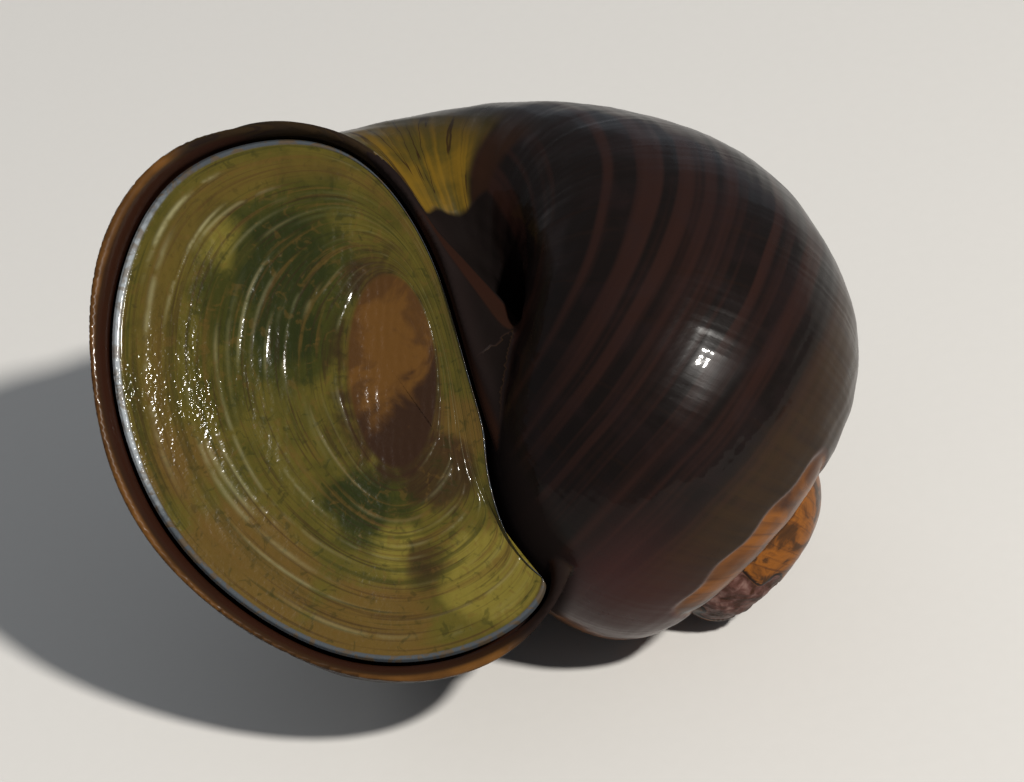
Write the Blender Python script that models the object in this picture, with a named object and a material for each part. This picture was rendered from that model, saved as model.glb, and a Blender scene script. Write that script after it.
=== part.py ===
# Apple snail, life size, drawn into its shell with the operculum shut.
# It lies on its back on the shoulder of the spire, so that the mouth of the shell faces up and forward.
#
# The shell is one tube whose cross-section grows by the same factor each turn round the coiling axis.
# All shell shapes are drawn in the shell's own frame, in millimetres: the axis is Z, the apex is at the
# origin and the base of the shell is down. At the end every piece is turned into its resting pose and
# scaled to metres, and the turns it rests on are ground to small flats at one level.

import math

import bmesh
import bpy
import numpy as np
from mathutils import Matrix

MM = 0.001

# Growth of the shell
WHORL_EXPANSION = 2.24
SECTION_CENTRE = (14.0, 37.5)
SECTION_RADII = (18.2, 18.1, 19.2, 22.3, 23.7, 19.3, 14.4, 12.8, 14.4, 17.4, 19.5, 22.9, 21.8, 19.3)

# Turns, in degrees of growth; 0 is the right side of the shell, and the mouth is just past it
BODY_START = -330.0
PENULTIMATE_START = BODY_START - 360.0
SPIRE_START = PENULTIMATE_START - 360.0
TIP_START = SPIRE_START - 330.0
BODY_SPLIT = -110.0
PAST_LIP = 78.0
TURN_GAP = 2.4

# Clearances and depths, measured inwards from the plane of the mouth
GAP = 0.3
AXIS_CLEARANCE = 0.05
LIP_BAND = 4.0
RECESS_DEPTH = 5.8
WIDE = 80.0

# Plane of the mouth: a point on the axis, the way it faces and its distance from that point
MOUTH_POINT = np.array((0.0, 0.0, -30.0))
MOUTH_SWING = math.radians(-10.8)
MOUTH_LEAN = math.radians(20.0)
MOUTH_REACH = 7.0

# Operculum: outline in the plane of the mouth as (towards the outer lip, towards the apex),
# and the room between that outline and the wall of the mouth at the same points
OPERCULUM_OUTLINE = (
    (0.9, -17.0), (2.7, -22.9), (8.0, -27.1), (15.3, -27.9), (23.9, -22.9), (29.8, -14.1), (31.7, -4.0),
    (28.9, 7.0), (22.2, 13.6), (15.6, 15.3), (12.2, 12.6), (9.9, 5.4), (5.5, -3.4), (2.3, -10.0),
)
MOUTH_ROOM = (0.4, 0.4, 0.45, 0.8, 0.9, 0.95, 0.95, 0.9, 0.8, 0.5, 0.7, 1.7, 0.45, 0.4)

# The hollow of the mouth keeps its outline down to this depth and then narrows towards the outer lip
STRAIGHT_DEPTH = 3.0
NARROWING = 0.05
NARROWING_TOWARDS = np.array((28.0, -10.0))

# A sleeve round the hollow that turns the inner lip back and closes the corner of the mouth at the suture:
# its width beyond the operculum's outline, below zero where there is none, and its two depths
SLEEVE_WIDTHS = (1.4, 1.4, 1.3, -1.5, -1.5, -1.5, -1.5, -1.5, -1.0, 1.4, 1.6, 0.6, 0.6, 1.4)
SLEEVE_DEPTHS = (-1.0, 6.6)

# Where the outer lip and the inner lip part, seen from the middle of the mouth
LIP_MIDDLE = np.array((17.0, -5.0))
LIP_BASE_END = np.array((7.0, -27.0))
LIP_TOP_END = np.array((10.0, 16.0))
WEDGE_SIDES = 8

# Operculum: its nucleus is a long oval beside the inner edge, and its lines of growth lie round it
NUCLEUS = np.array((10.0, -5.4))
NUCLEUS_HALF_LENGTH = 5.6
NUCLEUS_HALF_WIDTH = 2.3
NUCLEUS_LEAN = math.radians(50.0)
NUCLEUS_SHARE = 0.2
OPERCULUM_SET_IN = 1.5
OPERCULUM_THICKNESS = 1.1
OPERCULUM_DISH = 0.9
OPERCULUM_BEVEL = 0.35
OPERCULUM_BACK_STEP = 0.2
GROWTH_RINGS = (0.36, 0.52, 0.68, 0.84)
RING_HALF_WIDTH = 0.05
RING_HEIGHT = 0.14
SMALLEST_RING = 0.03

# Worn apex: a rough, slightly tilted surface cut from a square field of cells
APEX_WEAR = 3.5
WEAR_ROUGHNESS = 0.22
WEAR_SLOPE = (0.16, -0.1)
WEAR_REACH = 9.0
WEAR_CELLS = 8
WEAR_SEED = 7

# Resting pose: the way down and the way to the viewer, in the shell's frame
REST_DOWN = np.array((0.449, 0.366, 0.815))
VIEWER_SIDE = np.array((-0.089, -0.972, -0.217))
FLAT_DEPTH = 0.35

# Fineness of each turn: points round the section, degrees between sections
BODY_FACETS = (38, 9.0)
PENULTIMATE_FACETS = (28, 12.0)
SPIRE_FACETS = (20, 18.0)
TIP_FACETS = (12, 30.0)
OUTLINE_POINTS = 46
SHARP_ANGLE = math.radians(35.0)

# Colour and roughness of each piece
FINISHES = {
    "apex": ((0.42, 0.36, 0.36), 0.75),
    "spire_whorl": ((0.36, 0.17, 0.05), 0.55),
    "penultimate_whorl": ((0.30, 0.14, 0.04), 0.4),
    "body_whorl": ((0.045, 0.028, 0.018), 0.2),
    "outer_lip": ((0.20, 0.11, 0.04), 0.3),
    "inner_lip": ((0.09, 0.06, 0.04), 0.25),
    "operculum": ((0.30, 0.24, 0.06), 0.25),
    "foot": ((0.10, 0.06, 0.03), 0.4),
}


def unit(vector):
    """A vector of length one."""
    return vector / np.linalg.norm(vector)


MOUTH_NORMAL = np.array((
    math.sin(MOUTH_SWING) * math.cos(MOUTH_LEAN),
    -math.cos(MOUTH_SWING) * math.cos(MOUTH_LEAN),
    -math.sin(MOUTH_LEAN),
))
AXIS = np.array((0.0, 0.0, 1.0))
TO_APEX = unit(AXIS - AXIS.dot(MOUTH_NORMAL) * MOUTH_NORMAL)
TO_OUTER_LIP = np.cross(TO_APEX, MOUTH_NORMAL)


def closed_spline(knots, count):
    """Points evenly spaced in parameter on the smooth closed curve through evenly spaced knots."""
    knots = np.asarray(knots, dtype=float)
    size = len(knots)
    eye = np.eye(size)
    system = 4.0 * eye + np.roll(eye, 1, axis=0) + np.roll(eye, -1, axis=0)
    curvature = np.roll(knots, -1, axis=0) - 2.0 * knots + np.roll(knots, 1, axis=0)
    bend = np.linalg.solve(system, 6.0 * curvature)
    points = []
    for step in range(count):
        place = step * size / count
        i = int(place) % size
        j = (i + 1) % size
        f = place - int(place)
        g = 1.0 - f
        straight = g * knots[i] + f * knots[j]
        points.append(straight + (g**3 - g) / 6.0 * bend[i] + (f**3 - f) / 6.0 * bend[j])
    return np.array(points)


def outward_normals(points):
    """Unit normals in the plane of a closed curve that runs anticlockwise."""
    along = np.roll(points, -1, axis=0) - np.roll(points, 1, axis=0)
    outward = np.stack([along[:, 1], -along[:, 0]], axis=1)
    return outward / np.linalg.norm(outward, axis=1)[:, None]


def whorl_section(count, outset=0.0, size=1.0):
    """Cross-section of the tube as (distance from the axis, depth below the apex)."""
    radii = closed_spline(SECTION_RADII, count)
    angles = np.linspace(0.0, 2.0 * math.pi, count, endpoint=False)
    section = np.stack([
        SECTION_CENTRE[0] + radii * np.cos(angles),
        SECTION_CENTRE[1] + radii * np.sin(angles),
    ], axis=1)
    section = section * size + outward_normals(section) * outset
    section[:, 0] = np.maximum(section[:, 0], AXIS_CLEARANCE)
    return section


def whorl_ring(turn, count, outset=0.0):
    """One section of the tube, placed round the axis at a turn in degrees."""
    angle = math.radians(turn)
    section = whorl_section(count, outset, WHORL_EXPANSION ** (turn / 360.0))
    return np.stack([
        section[:, 0] * math.cos(angle),
        -section[:, 0] * math.sin(angle),
        -section[:, 1],
    ], axis=1)


def mesh_object(name, bm):
    """A new object in the scene from a finished bmesh, which is freed."""
    bmesh.ops.recalc_face_normals(bm, faces=bm.faces)
    mesh = bpy.data.meshes.new(name)
    bm.to_mesh(mesh)
    bm.free()
    piece = bpy.data.objects.new(name, mesh)
    bpy.context.scene.collection.objects.link(piece)
    return piece


def solid(name, rings):
    """A closed mesh object through rings of equal length, with a fan of faces over each end."""
    count = len(rings[0])
    bm = bmesh.new()
    grid = [[bm.verts.new(point) for point in ring] for ring in rings]
    for lower, upper in zip(grid[:-1], grid[1:]):
        for i in range(count):
            j = (i + 1) % count
            bm.faces.new((lower[i], lower[j], upper[j]))
            bm.faces.new((lower[i], upper[j], upper[i]))
    for ring, flip in ((grid[0], True), (grid[-1], False)):
        centre = bm.verts.new(np.mean([vert.co[:] for vert in ring], axis=0))
        for i in range(count):
            j = (i + 1) % count
            bm.faces.new((centre, ring[j], ring[i]) if flip else (centre, ring[i], ring[j]))
    return mesh_object(name, bm)


def tube(name, start, end, facets, outset=0.0):
    """A closed length of the shell's tube between two turns."""
    count, spacing = facets
    steps = max(2, round((end - start) / spacing))
    turns = [start + (end - start) * i / steps for i in range(steps + 1)]
    return solid(name, [whorl_ring(turn, count, outset) for turn in turns])


def mouth_point(outer, apical, depth):
    """A point in the shell's frame from its place in the mouth; depth is measured inwards from the lip."""
    return MOUTH_POINT + (MOUTH_REACH - depth) * MOUTH_NORMAL + outer * TO_OUTER_LIP + apical * TO_APEX


def outline(outset):
    """The operculum's outline, moved outwards by one value or by one value for each point."""
    points = closed_spline(OPERCULUM_OUTLINE, OUTLINE_POINTS)
    return points + outward_normals(points) * np.broadcast_to(outset, OUTLINE_POINTS)[:, None]


def plug(name, shapes):
    """A solid through the mouth from pairs of depth and outline."""
    return solid(name, [[mouth_point(*point, depth) for point in shape] for depth, shape in shapes])


def slab(name, near, far):
    """A wide block across the mouth between two depths."""
    corners = ((-WIDE, -WIDE), (WIDE, -WIDE), (WIDE, WIDE), (-WIDE, WIDE))
    return plug(name, ((near, corners), (far, corners)))


def combine(target, tools, operation):
    """Applies one Boolean for each tool to the target and removes the tools."""
    for tool in tools:
        modifier = target.modifiers.new(operation, "BOOLEAN")
        modifier.operation = operation
        modifier.solver = "EXACT"
        modifier.object = tool
        graph = bpy.context.evaluated_depsgraph_get()
        mesh = bpy.data.meshes.new_from_object(target.evaluated_get(graph))
        target.modifiers.clear()
        target.data = mesh
        bpy.data.objects.remove(tool)
    return target


def copy_of(piece, name):
    """A separate object with its own copy of a mesh."""
    twin = bpy.data.objects.new(name, piece.data.copy())
    bpy.context.scene.collection.objects.link(twin)
    return twin


def keep_largest(piece):
    """Leaves only the largest closed surface of a piece, in triangles."""
    bm = bmesh.new()
    bm.from_mesh(piece.data)
    left = set(bm.faces)
    surfaces = []
    while left:
        surface = {left.pop()}
        front = list(surface)
        while front:
            face = front.pop()
            for edge in face.edges:
                for other in edge.link_faces:
                    if other in left:
                        left.discard(other)
                        surface.add(other)
                        front.append(other)
        surfaces.append(surface)
    surfaces.sort(key=lambda surface: sum(face.calc_area() for face in surface))
    for surface in surfaces[:-1]:
        bmesh.ops.delete(bm, geom=list(surface), context="FACES")
    loose = [vert for vert in bm.verts if not vert.link_faces]
    bmesh.ops.delete(bm, geom=loose, context="VERTS")
    bmesh.ops.triangulate(bm, faces=bm.faces, ngon_method="EAR_CLIP")
    bm.to_mesh(piece.data)
    bm.free()
    return piece


def worn_cap(name):
    """A block over the apex whose lower face is a rough, slightly tilted surface."""
    rng = np.random.default_rng(WEAR_SEED)
    rough = rng.uniform(-WEAR_ROUGHNESS, WEAR_ROUGHNESS, (WEAR_CELLS + 1, WEAR_CELLS + 1))
    places = np.linspace(-WEAR_REACH, WEAR_REACH, WEAR_CELLS + 1)
    bm = bmesh.new()
    top = []
    bottom = []
    for row, y in enumerate(places):
        heights = WEAR_SLOPE[0] * places + WEAR_SLOPE[1] * y + rough[row] - APEX_WEAR
        top.append([bm.verts.new((x, y, WEAR_REACH)) for x in places])
        bottom.append([bm.verts.new((x, y, height)) for x, height in zip(places, heights)])
    for row in range(WEAR_CELLS):
        for column in range(WEAR_CELLS):
            for sheet in (top, bottom):
                a, b = sheet[row][column], sheet[row][column + 1]
                c, d = sheet[row + 1][column + 1], sheet[row + 1][column]
                bm.faces.new((a, b, c))
                bm.faces.new((a, c, d))
    steps = range(WEAR_CELLS)
    rim = [(0, i) for i in steps] + [(i, WEAR_CELLS) for i in steps]
    rim += [(WEAR_CELLS, WEAR_CELLS - i) for i in steps] + [(WEAR_CELLS - i, 0) for i in steps]
    for (row, column), (next_row, next_column) in zip(rim, rim[1:] + rim[:1]):
        bm.faces.new((
            top[row][column], top[next_row][next_column],
            bottom[next_row][next_column], bottom[row][column],
        ))
    return mesh_object(name, bm)


def early_turns():
    """The worn tip, the spire whorl and the penultimate whorl, each hugging the one before it."""
    tip = tube("apex", TIP_START, SPIRE_START - TURN_GAP, TIP_FACETS)
    combine(tip, [worn_cap("wear")], "DIFFERENCE")
    spire = tube("spire_whorl", SPIRE_START, PENULTIMATE_START - TURN_GAP, SPIRE_FACETS)
    combine(spire, [
        tube("tip_room", TIP_START, SPIRE_START - TURN_GAP / 2, TIP_FACETS, GAP),
        worn_cap("wear"),
    ], "DIFFERENCE")
    penultimate = tube("penultimate_whorl", PENULTIMATE_START, BODY_START - TURN_GAP, PENULTIMATE_FACETS)
    combine(penultimate, [
        tube("spire_room", SPIRE_START, PENULTIMATE_START - TURN_GAP / 2, SPIRE_FACETS, GAP),
    ], "DIFFERENCE")
    return [tip, spire, penultimate]


def narrowing_plug(name, shape, near, far):
    """A plug through the mouth that is straight at first and then narrows towards the outer lip."""
    shapes = []
    for depth in sorted({near, max(near, STRAIGHT_DEPTH), far}):
        scale = 1.0 - NARROWING * max(0.0, depth - STRAIGHT_DEPTH)
        shapes.append((depth, NARROWING_TOWARDS + (shape - NARROWING_TOWARDS) * scale))
    return plug(name, shapes)


def mouth_recess(name, clearance, near, far):
    """The hollow of the mouth between two depths, drawn in from its walls by a clearance."""
    room = np.maximum(closed_spline(MOUTH_ROOM, OUTLINE_POINTS), min(MOUTH_ROOM))
    return narrowing_plug(name, outline(room - clearance), near, far)


def lip_side(name, first, second):
    """A wedge from the middle of the mouth, from one parting to the other, anticlockwise."""
    start, stop = (math.atan2(*(end - LIP_MIDDLE)[::-1]) for end in (first, second))
    sweep = (stop - start) % (2.0 * math.pi)
    bisector = start + sweep / 2
    hub = LIP_MIDDLE + GAP / 2 / math.sin(sweep / 2) * np.array((math.cos(bisector), math.sin(bisector)))
    arc = [start + sweep * i / WEDGE_SIDES for i in range(WEDGE_SIDES + 1)]
    shape = [hub] + [hub + WIDE * np.array((math.cos(angle), math.sin(angle))) for angle in arc]
    return plug(name, ((-WIDE, shape), (WIDE, shape)))


def last_turn():
    """The body whorl, the outer lip and the inner lip, and the room that the turns inside them take."""
    first = tube("body_whorl", BODY_START, BODY_SPLIT + BODY_FACETS[1], BODY_FACETS)
    last = tube("last_length", BODY_SPLIT - BODY_FACETS[1], PAST_LIP, BODY_FACETS)
    first_room = tube("first_room", BODY_START, BODY_SPLIT, BODY_FACETS, GAP)
    early_room = tube("early_room", PENULTIMATE_START, BODY_START - TURN_GAP / 2, PENULTIMATE_FACETS, GAP)

    sleeve = outline(closed_spline(SLEEVE_WIDTHS, OUTLINE_POINTS))
    combine(last, [narrowing_plug("sleeve", sleeve, *SLEEVE_DEPTHS)], "UNION")
    outer = copy_of(last, "outer_lip")
    combine(outer, [
        slab("front", -WIDE, 0.0),
        slab("behind", LIP_BAND, WIDE),
        mouth_recess("recess", 0.0, -GAP, RECESS_DEPTH),
        copy_of(first_room, "room"),
    ], "DIFFERENCE")
    inner = copy_of(outer, "inner_lip")
    combine(outer, [lip_side("side", LIP_BASE_END, LIP_TOP_END)], "INTERSECT")
    combine(inner, [lip_side("side", LIP_TOP_END, LIP_BASE_END)], "INTERSECT")

    combine(last, [
        slab("before", -WIDE, LIP_BAND + GAP),
        mouth_recess("recess", 0.0, -GAP, RECESS_DEPTH),
    ], "DIFFERENCE")
    combine(first, [last], "UNION")
    combine(first, [copy_of(early_room, "room")], "DIFFERENCE")
    return [first, outer, inner], [first_room, early_room]


def growth_line(fraction, depth):
    """One line of growth of the operculum, from the middle of its nucleus at 0 to its edge at 1."""
    spokes = outline(0.0) - NUCLEUS
    lengths = np.linalg.norm(spokes, axis=1)
    angles = np.arctan2(spokes[:, 1], spokes[:, 0]) - NUCLEUS_LEAN
    reach = 1.0 / np.hypot(np.cos(angles) / NUCLEUS_HALF_LENGTH, np.sin(angles) / NUCLEUS_HALF_WIDTH)
    oval = spokes * (reach / lengths)[:, None]
    if fraction < NUCLEUS_SHARE:
        line = oval * fraction / NUCLEUS_SHARE
    else:
        share = (fraction - NUCLEUS_SHARE) / (1.0 - NUCLEUS_SHARE)
        line = oval * (1.0 - share) + spokes * share
    return [mouth_point(*(NUCLEUS + point), depth) for point in line]


def operculum_rings():
    """Rings of the operculum from its nucleus outwards over the front, then in again over the back."""
    fractions = [SMALLEST_RING, NUCLEUS_SHARE]
    for ring in GROWTH_RINGS:
        fractions += [ring - RING_HALF_WIDTH, ring, ring + RING_HALF_WIDTH]
    fractions += [0.97, 1.0]
    rings = []
    for fraction in fractions:
        rise = RING_HEIGHT if fraction in GROWTH_RINGS else 0.0
        dish = OPERCULUM_DISH * (1.0 - fraction**2)
        bevel = OPERCULUM_BEVEL if fraction == 1.0 else 0.0
        rings.append(growth_line(fraction, OPERCULUM_SET_IN + dish + bevel - rise))
    back = OPERCULUM_SET_IN + OPERCULUM_THICKNESS
    rings.append(growth_line(1.0, back - OPERCULUM_BACK_STEP))
    for fraction in (0.6, SMALLEST_RING):
        rings.append(growth_line(fraction, back + OPERCULUM_DISH * (1.0 - fraction**2)))
    return rings


def soft_parts(inner_rooms):
    """The operculum and the drawn-in foot behind it."""
    plate = solid("operculum", operculum_rings())
    combine(plate, [copy_of(room, "room") for room in inner_rooms], "DIFFERENCE")
    foot_near = OPERCULUM_SET_IN + OPERCULUM_THICKNESS + OPERCULUM_DISH + GAP
    foot = mouth_recess("foot", GAP, foot_near, RECESS_DEPTH - GAP)
    combine(foot, inner_rooms, "DIFFERENCE")
    return [plate, foot]


def paint(piece, colour, roughness):
    """Gives a piece its own plain material."""
    material = bpy.data.materials.new(piece.name)
    material.use_nodes = True
    shader = material.node_tree.nodes["Principled BSDF"]
    shader.inputs["Base Color"].default_value = (*colour, 1.0)
    shader.inputs["Roughness"].default_value = roughness
    shader.inputs["Metallic"].default_value = 0.0
    piece.data.materials.clear()
    piece.data.materials.append(material)


def grind_flat(piece):
    """Cuts off whatever of a piece lies below the floor and closes the cut with a flat face."""
    bm = bmesh.new()
    bm.from_mesh(piece.data)
    if min(vert.co.z for vert in bm.verts) < 0.0:
        cut = bmesh.ops.bisect_plane(
            bm,
            geom=bm.verts[:] + bm.edges[:] + bm.faces[:],
            dist=1e-7,
            plane_co=(0.0, 0.0, 0.0),
            plane_no=(0.0, 0.0, -1.0),
            clear_outer=True,
        )
        edges = [item for item in cut["geom_cut"] if isinstance(item, bmesh.types.BMEdge)]
        bmesh.ops.triangle_fill(bm, edges=edges, use_beauty=True)
        bmesh.ops.recalc_face_normals(bm, faces=bm.faces)
        bmesh.ops.triangulate(bm, faces=bm.faces)
    bm.to_mesh(piece.data)
    bm.free()


def rest(pieces):
    """Turns the pieces into the resting pose, puts the origin under the middle and grinds the flats."""
    up = unit(-REST_DOWN)
    viewer = unit(VIEWER_SIDE - VIEWER_SIDE.dot(up) * up)
    right = np.cross(-viewer, up)
    turn = Matrix([list(right) + [0.0], list(-viewer) + [0.0], list(up) + [0.0], [0.0, 0.0, 0.0, 1.0]])
    for piece in pieces:
        piece.data.transform(Matrix.Scale(MM, 4) @ turn)
    points = np.array([vert.co[:] for piece in pieces for vert in piece.data.vertices])
    low = points.min(axis=0)
    high = points.max(axis=0)
    floor = low[2] + FLAT_DEPTH * MM
    shift = Matrix.Translation((-(low[0] + high[0]) / 2, -(low[1] + high[1]) / 2, -floor))
    for piece in pieces:
        piece.data.transform(shift)
        grind_flat(piece)


def main():
    """Builds every piece of the snail."""
    for item in list(bpy.data.objects):
        bpy.data.objects.remove(item)
    pieces = early_turns()
    shell, inner_rooms = last_turn()
    pieces += shell
    pieces += soft_parts(inner_rooms)
    for piece in pieces:
        keep_largest(piece)
    rest(pieces)
    for piece in pieces:
        paint(piece, *FINISHES[piece.name])
        piece.data.shade_smooth()
        piece.data.set_sharp_from_angle(angle=SHARP_ANGLE)


main()
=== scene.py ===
"""Apple snail, life size: the shell, its operculum and the foot behind it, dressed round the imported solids.

The shell is drawn in its own frame, in millimetres: the coiling axis is Z, the apex is the origin and the
base is down. A snail frame turns that into the resting pose in metres, which is the frame of the solids.
"""

import logging
import math
from dataclasses import dataclass, field
from enum import Enum

import bpy
import numpy as np
import openvdb
from mathutils import Matrix, Vector


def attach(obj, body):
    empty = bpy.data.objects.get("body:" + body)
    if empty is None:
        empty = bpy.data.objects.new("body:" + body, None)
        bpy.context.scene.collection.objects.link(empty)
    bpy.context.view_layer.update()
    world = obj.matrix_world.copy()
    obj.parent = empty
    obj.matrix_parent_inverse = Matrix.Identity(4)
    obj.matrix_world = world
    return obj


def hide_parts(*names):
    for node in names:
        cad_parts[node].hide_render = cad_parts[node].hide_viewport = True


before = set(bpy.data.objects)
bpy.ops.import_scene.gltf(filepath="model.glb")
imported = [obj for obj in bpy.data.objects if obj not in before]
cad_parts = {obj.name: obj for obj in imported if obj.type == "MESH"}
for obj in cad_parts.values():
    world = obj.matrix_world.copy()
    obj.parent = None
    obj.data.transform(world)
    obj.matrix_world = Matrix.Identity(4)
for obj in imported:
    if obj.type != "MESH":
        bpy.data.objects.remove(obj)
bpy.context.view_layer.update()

LOG = logging.getLogger("apple_snail")
MM = 0.001
BODY = "root"
TURN = 360.0
IMAGE_WIDTH = 1024
IMAGE_HEIGHT = 782

Array = np.ndarray


def unit(vector: Array) -> Array:
    """Vectors of length one, along the last axis."""
    return vector / np.linalg.norm(vector, axis=-1, keepdims=True)


def smooth_step(value: Array, low: float, high: float) -> Array:
    """A soft step from 0 at low to 1 at high."""
    share = np.clip((value - low) / (high - low), 0.0, 1.0)
    return share * share * (3.0 - 2.0 * share)


def soft_min(first: Array, second: Array, blend: float) -> Array:
    """The lesser of two distances, rounded off where they are about equal.

    Args:
        first: distances to one surface.
        second: distances to the other surface.
        blend: how far from equal the rounding begins.

    Returns:
        Distances to the two surfaces run together.
    """
    share = np.maximum(blend - np.abs(first - second), 0.0) / blend
    return np.minimum(first, second) - share * share * blend * 0.25


def soft_max(first: Array, second: Array, blend: float) -> Array:
    """The greater of two distances, rounded off where they are about equal."""
    return -soft_min(-first, -second, blend)


class ClosedSpline:
    """A smooth closed curve through evenly spaced knots."""

    def __init__(self, knots: tuple) -> None:
        """Works out the bend at each knot.

        Args:
            knots: numbers or points, one for each knot.
        """
        self.knots = np.asarray(knots, dtype=float)
        self.size = len(self.knots)
        eye = np.eye(self.size)
        system = 4.0 * eye + np.roll(eye, 1, axis=0) + np.roll(eye, -1, axis=0)
        curvature = np.roll(self.knots, -1, axis=0) - 2.0 * self.knots + np.roll(self.knots, 1, axis=0)
        self.bend = np.linalg.solve(system, 6.0 * curvature)

    def at(self, place: Array) -> Array:
        """Values of the curve.

        Args:
            place: places along the curve, one for each knot that is passed.

        Returns:
            One value or point for each place.
        """
        place = np.asarray(place, dtype=float)
        low = np.floor(place).astype(int)
        f = place - low
        i = low % self.size
        j = (i + 1) % self.size
        if self.knots.ndim > 1:
            f = f[..., None]
        g = 1.0 - f
        straight = g * self.knots[i] + f * self.knots[j]
        return straight + (g**3 - g) / 6.0 * self.bend[i] + (f**3 - f) / 6.0 * self.bend[j]


class Ripples:
    """Smooth, repeatable unevenness made of waves in a plane of two coordinates."""

    def __init__(self, seed: int, count: int, low: tuple, high: tuple) -> None:
        """Draws the waves.

        Args:
            seed: start of the random draws.
            count: how many waves are added up.
            low: the least waves per unit of each coordinate.
            high: the most waves per unit of each coordinate.
        """
        rng = np.random.default_rng(seed)
        self.waves = rng.uniform(low, high, (count, 2)) * rng.choice((-1.0, 1.0), (count, 2))
        self.phases = rng.uniform(0.0, 2.0 * math.pi, count)
        self.gain = math.sqrt(2.0 / count)

    def at(self, first: Array, second: Array) -> Array:
        """Height of the ripples, about 1 from trough to crest on average."""
        total = 0.0
        for (x, y), phase in zip(self.waves, self.phases):
            total = total + np.sin(2.0 * math.pi * (x * first + y * second) + phase)
        return total * self.gain * 0.5


@dataclass(frozen=True)
class SnailFrame:
    """Turns the shell's own frame into the resting pose."""

    down: tuple = (0.449, 0.366, 0.815)
    viewer_side: tuple = (-0.089, -0.972, -0.217)
    origin: tuple = (0.0199867, -0.0105804, -0.0003156)

    @property
    def rows(self) -> Array:
        """The directions right, away from the viewer and up, in the shell's frame."""
        up = unit(-np.array(self.down))
        viewer = np.array(self.viewer_side)
        viewer = unit(viewer - viewer.dot(up) * up)
        return np.array((np.cross(-viewer, up), -viewer, up))

    def place(self, points: Array) -> Array:
        """Points of the shell in the resting pose, in metres."""
        return points @ self.rows.T * MM + np.array(self.origin)

    def direction(self, vector: Array) -> Array:
        """A direction of the shell in the resting pose."""
        return self.rows @ np.asarray(vector, dtype=float)


@dataclass(frozen=True)
class Spiral:
    """The shell's tube: one cross-section that grows by the same factor each turn round the axis."""

    expansion: float = 2.24
    centre: tuple = (14.0, 37.5)
    radii: tuple = (18.2, 18.1, 19.2, 22.3, 23.7, 19.3, 14.4, 12.8, 14.4, 17.4, 19.5, 22.9, 21.8, 19.3)
    tip_start: float = -1380.0
    end: float = 78.0
    girth_step: float = 0.25

    @property
    def spline(self) -> ClosedSpline:
        """Radius of the cross-section as a smooth closed curve."""
        return ClosedSpline(self.radii)

    def size(self, turn: Array) -> Array:
        """Size of the tube at a turn, against its size at turn 0."""
        return self.expansion ** (np.asarray(turn) / TURN)

    def point(self, turn: Array, girth: Array) -> Array:
        """Points on the tube.

        Args:
            turn: degrees of growth.
            girth: degrees round the cross-section, 0 outwards and rising towards the base.

        Returns:
            Points in the shell's frame.
        """
        radius = self.spline.at(np.asarray(girth) / TURN * len(self.radii))
        across = self.centre[0] + radius * np.cos(np.radians(girth))
        below = self.centre[1] + radius * np.sin(np.radians(girth))
        size = self.size(turn)
        swing = np.radians(turn)
        return np.stack([
            size * across * np.cos(swing), -size * across * np.sin(swing), -size * below,
        ], axis=-1)

    def table(self) -> Array:
        """Radius of the cross-section at each small step round it, for quick reading."""
        steps = np.arange(0.0, TURN + self.girth_step, self.girth_step)
        return self.spline.at(steps / TURN * len(self.radii))


@dataclass(frozen=True)
class Mouth:
    """The mouth of the shell: its plane, the outline of the operculum and the walls round it."""

    middle_of_axis: tuple = (0.0, 0.0, -30.0)
    swing: float = math.radians(-10.8)
    lean: float = math.radians(20.0)
    reach: float = 7.0
    outline: tuple = (
        (0.9, -17.0), (2.7, -22.9), (8.0, -27.1), (15.3, -27.9), (23.9, -22.9), (29.8, -14.1), (31.7, -4.0),
        (28.9, 7.0), (22.2, 13.6), (15.6, 15.3), (12.2, 12.6), (9.9, 5.4), (5.5, -3.4), (2.3, -10.0),
    )
    room: tuple = (0.75, 0.8, 0.85, 1.2, 1.35, 1.4, 1.4, 1.35, 1.2, 0.85, 0.9, 1.7, 0.7, 0.75)
    sleeve: tuple = (1.15, 1.15, 1.0, -1.5, -1.5, -1.5, -1.5, -1.5, -1.0, 0.75, 0.8, 0.6, 0.5, 1.0)
    callus: tuple = (3.5, -5.0)
    callus_depth: float = 2.0
    callus_reach: float = 6.5
    hub: tuple = (17.0, -5.0)
    clearance: float = 0.26
    seat_depth: float = 1.35
    seat_hollow: float = 1.7
    floor_depth: float = 5.8
    narrowing: float = 0.05
    straight_depth: float = 3.0
    narrowing_towards: tuple = (28.0, -10.0)
    bearings: int = 720

    @property
    def normal(self) -> Array:
        """The way the mouth faces."""
        return np.array((
            math.sin(self.swing) * math.cos(self.lean),
            -math.cos(self.swing) * math.cos(self.lean),
            -math.sin(self.lean),
        ))

    @property
    def to_apex(self) -> Array:
        """The direction in the plane of the mouth that leads towards the apex."""
        axis = np.array((0.0, 0.0, 1.0))
        return unit(axis - axis.dot(self.normal) * self.normal)

    @property
    def to_outer_lip(self) -> Array:
        """The direction in the plane of the mouth that leads towards the outer lip."""
        return np.cross(self.to_apex, self.normal)

    def point(self, flat: Array, depth: Array) -> Array:
        """Points in the shell's frame.

        Args:
            flat: places in the plane of the mouth, towards the outer lip and towards the apex.
            depth: depth behind that plane, for each place.

        Returns:
            One point for each place.
        """
        depth = np.asarray(depth, dtype=float)[..., None]
        base = np.array(self.middle_of_axis) + (self.reach - depth) * self.normal
        return base + flat[..., :1] * self.to_outer_lip + flat[..., 1:] * self.to_apex

    def locate(self, points: Array) -> tuple:
        """Places in the plane of the mouth, and depths behind it, of points in the shell's frame."""
        offset = points - np.array(self.middle_of_axis)
        flat = np.stack([offset @ self.to_outer_lip, offset @ self.to_apex], axis=-1)
        return flat, self.reach - offset @ self.normal


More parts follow.
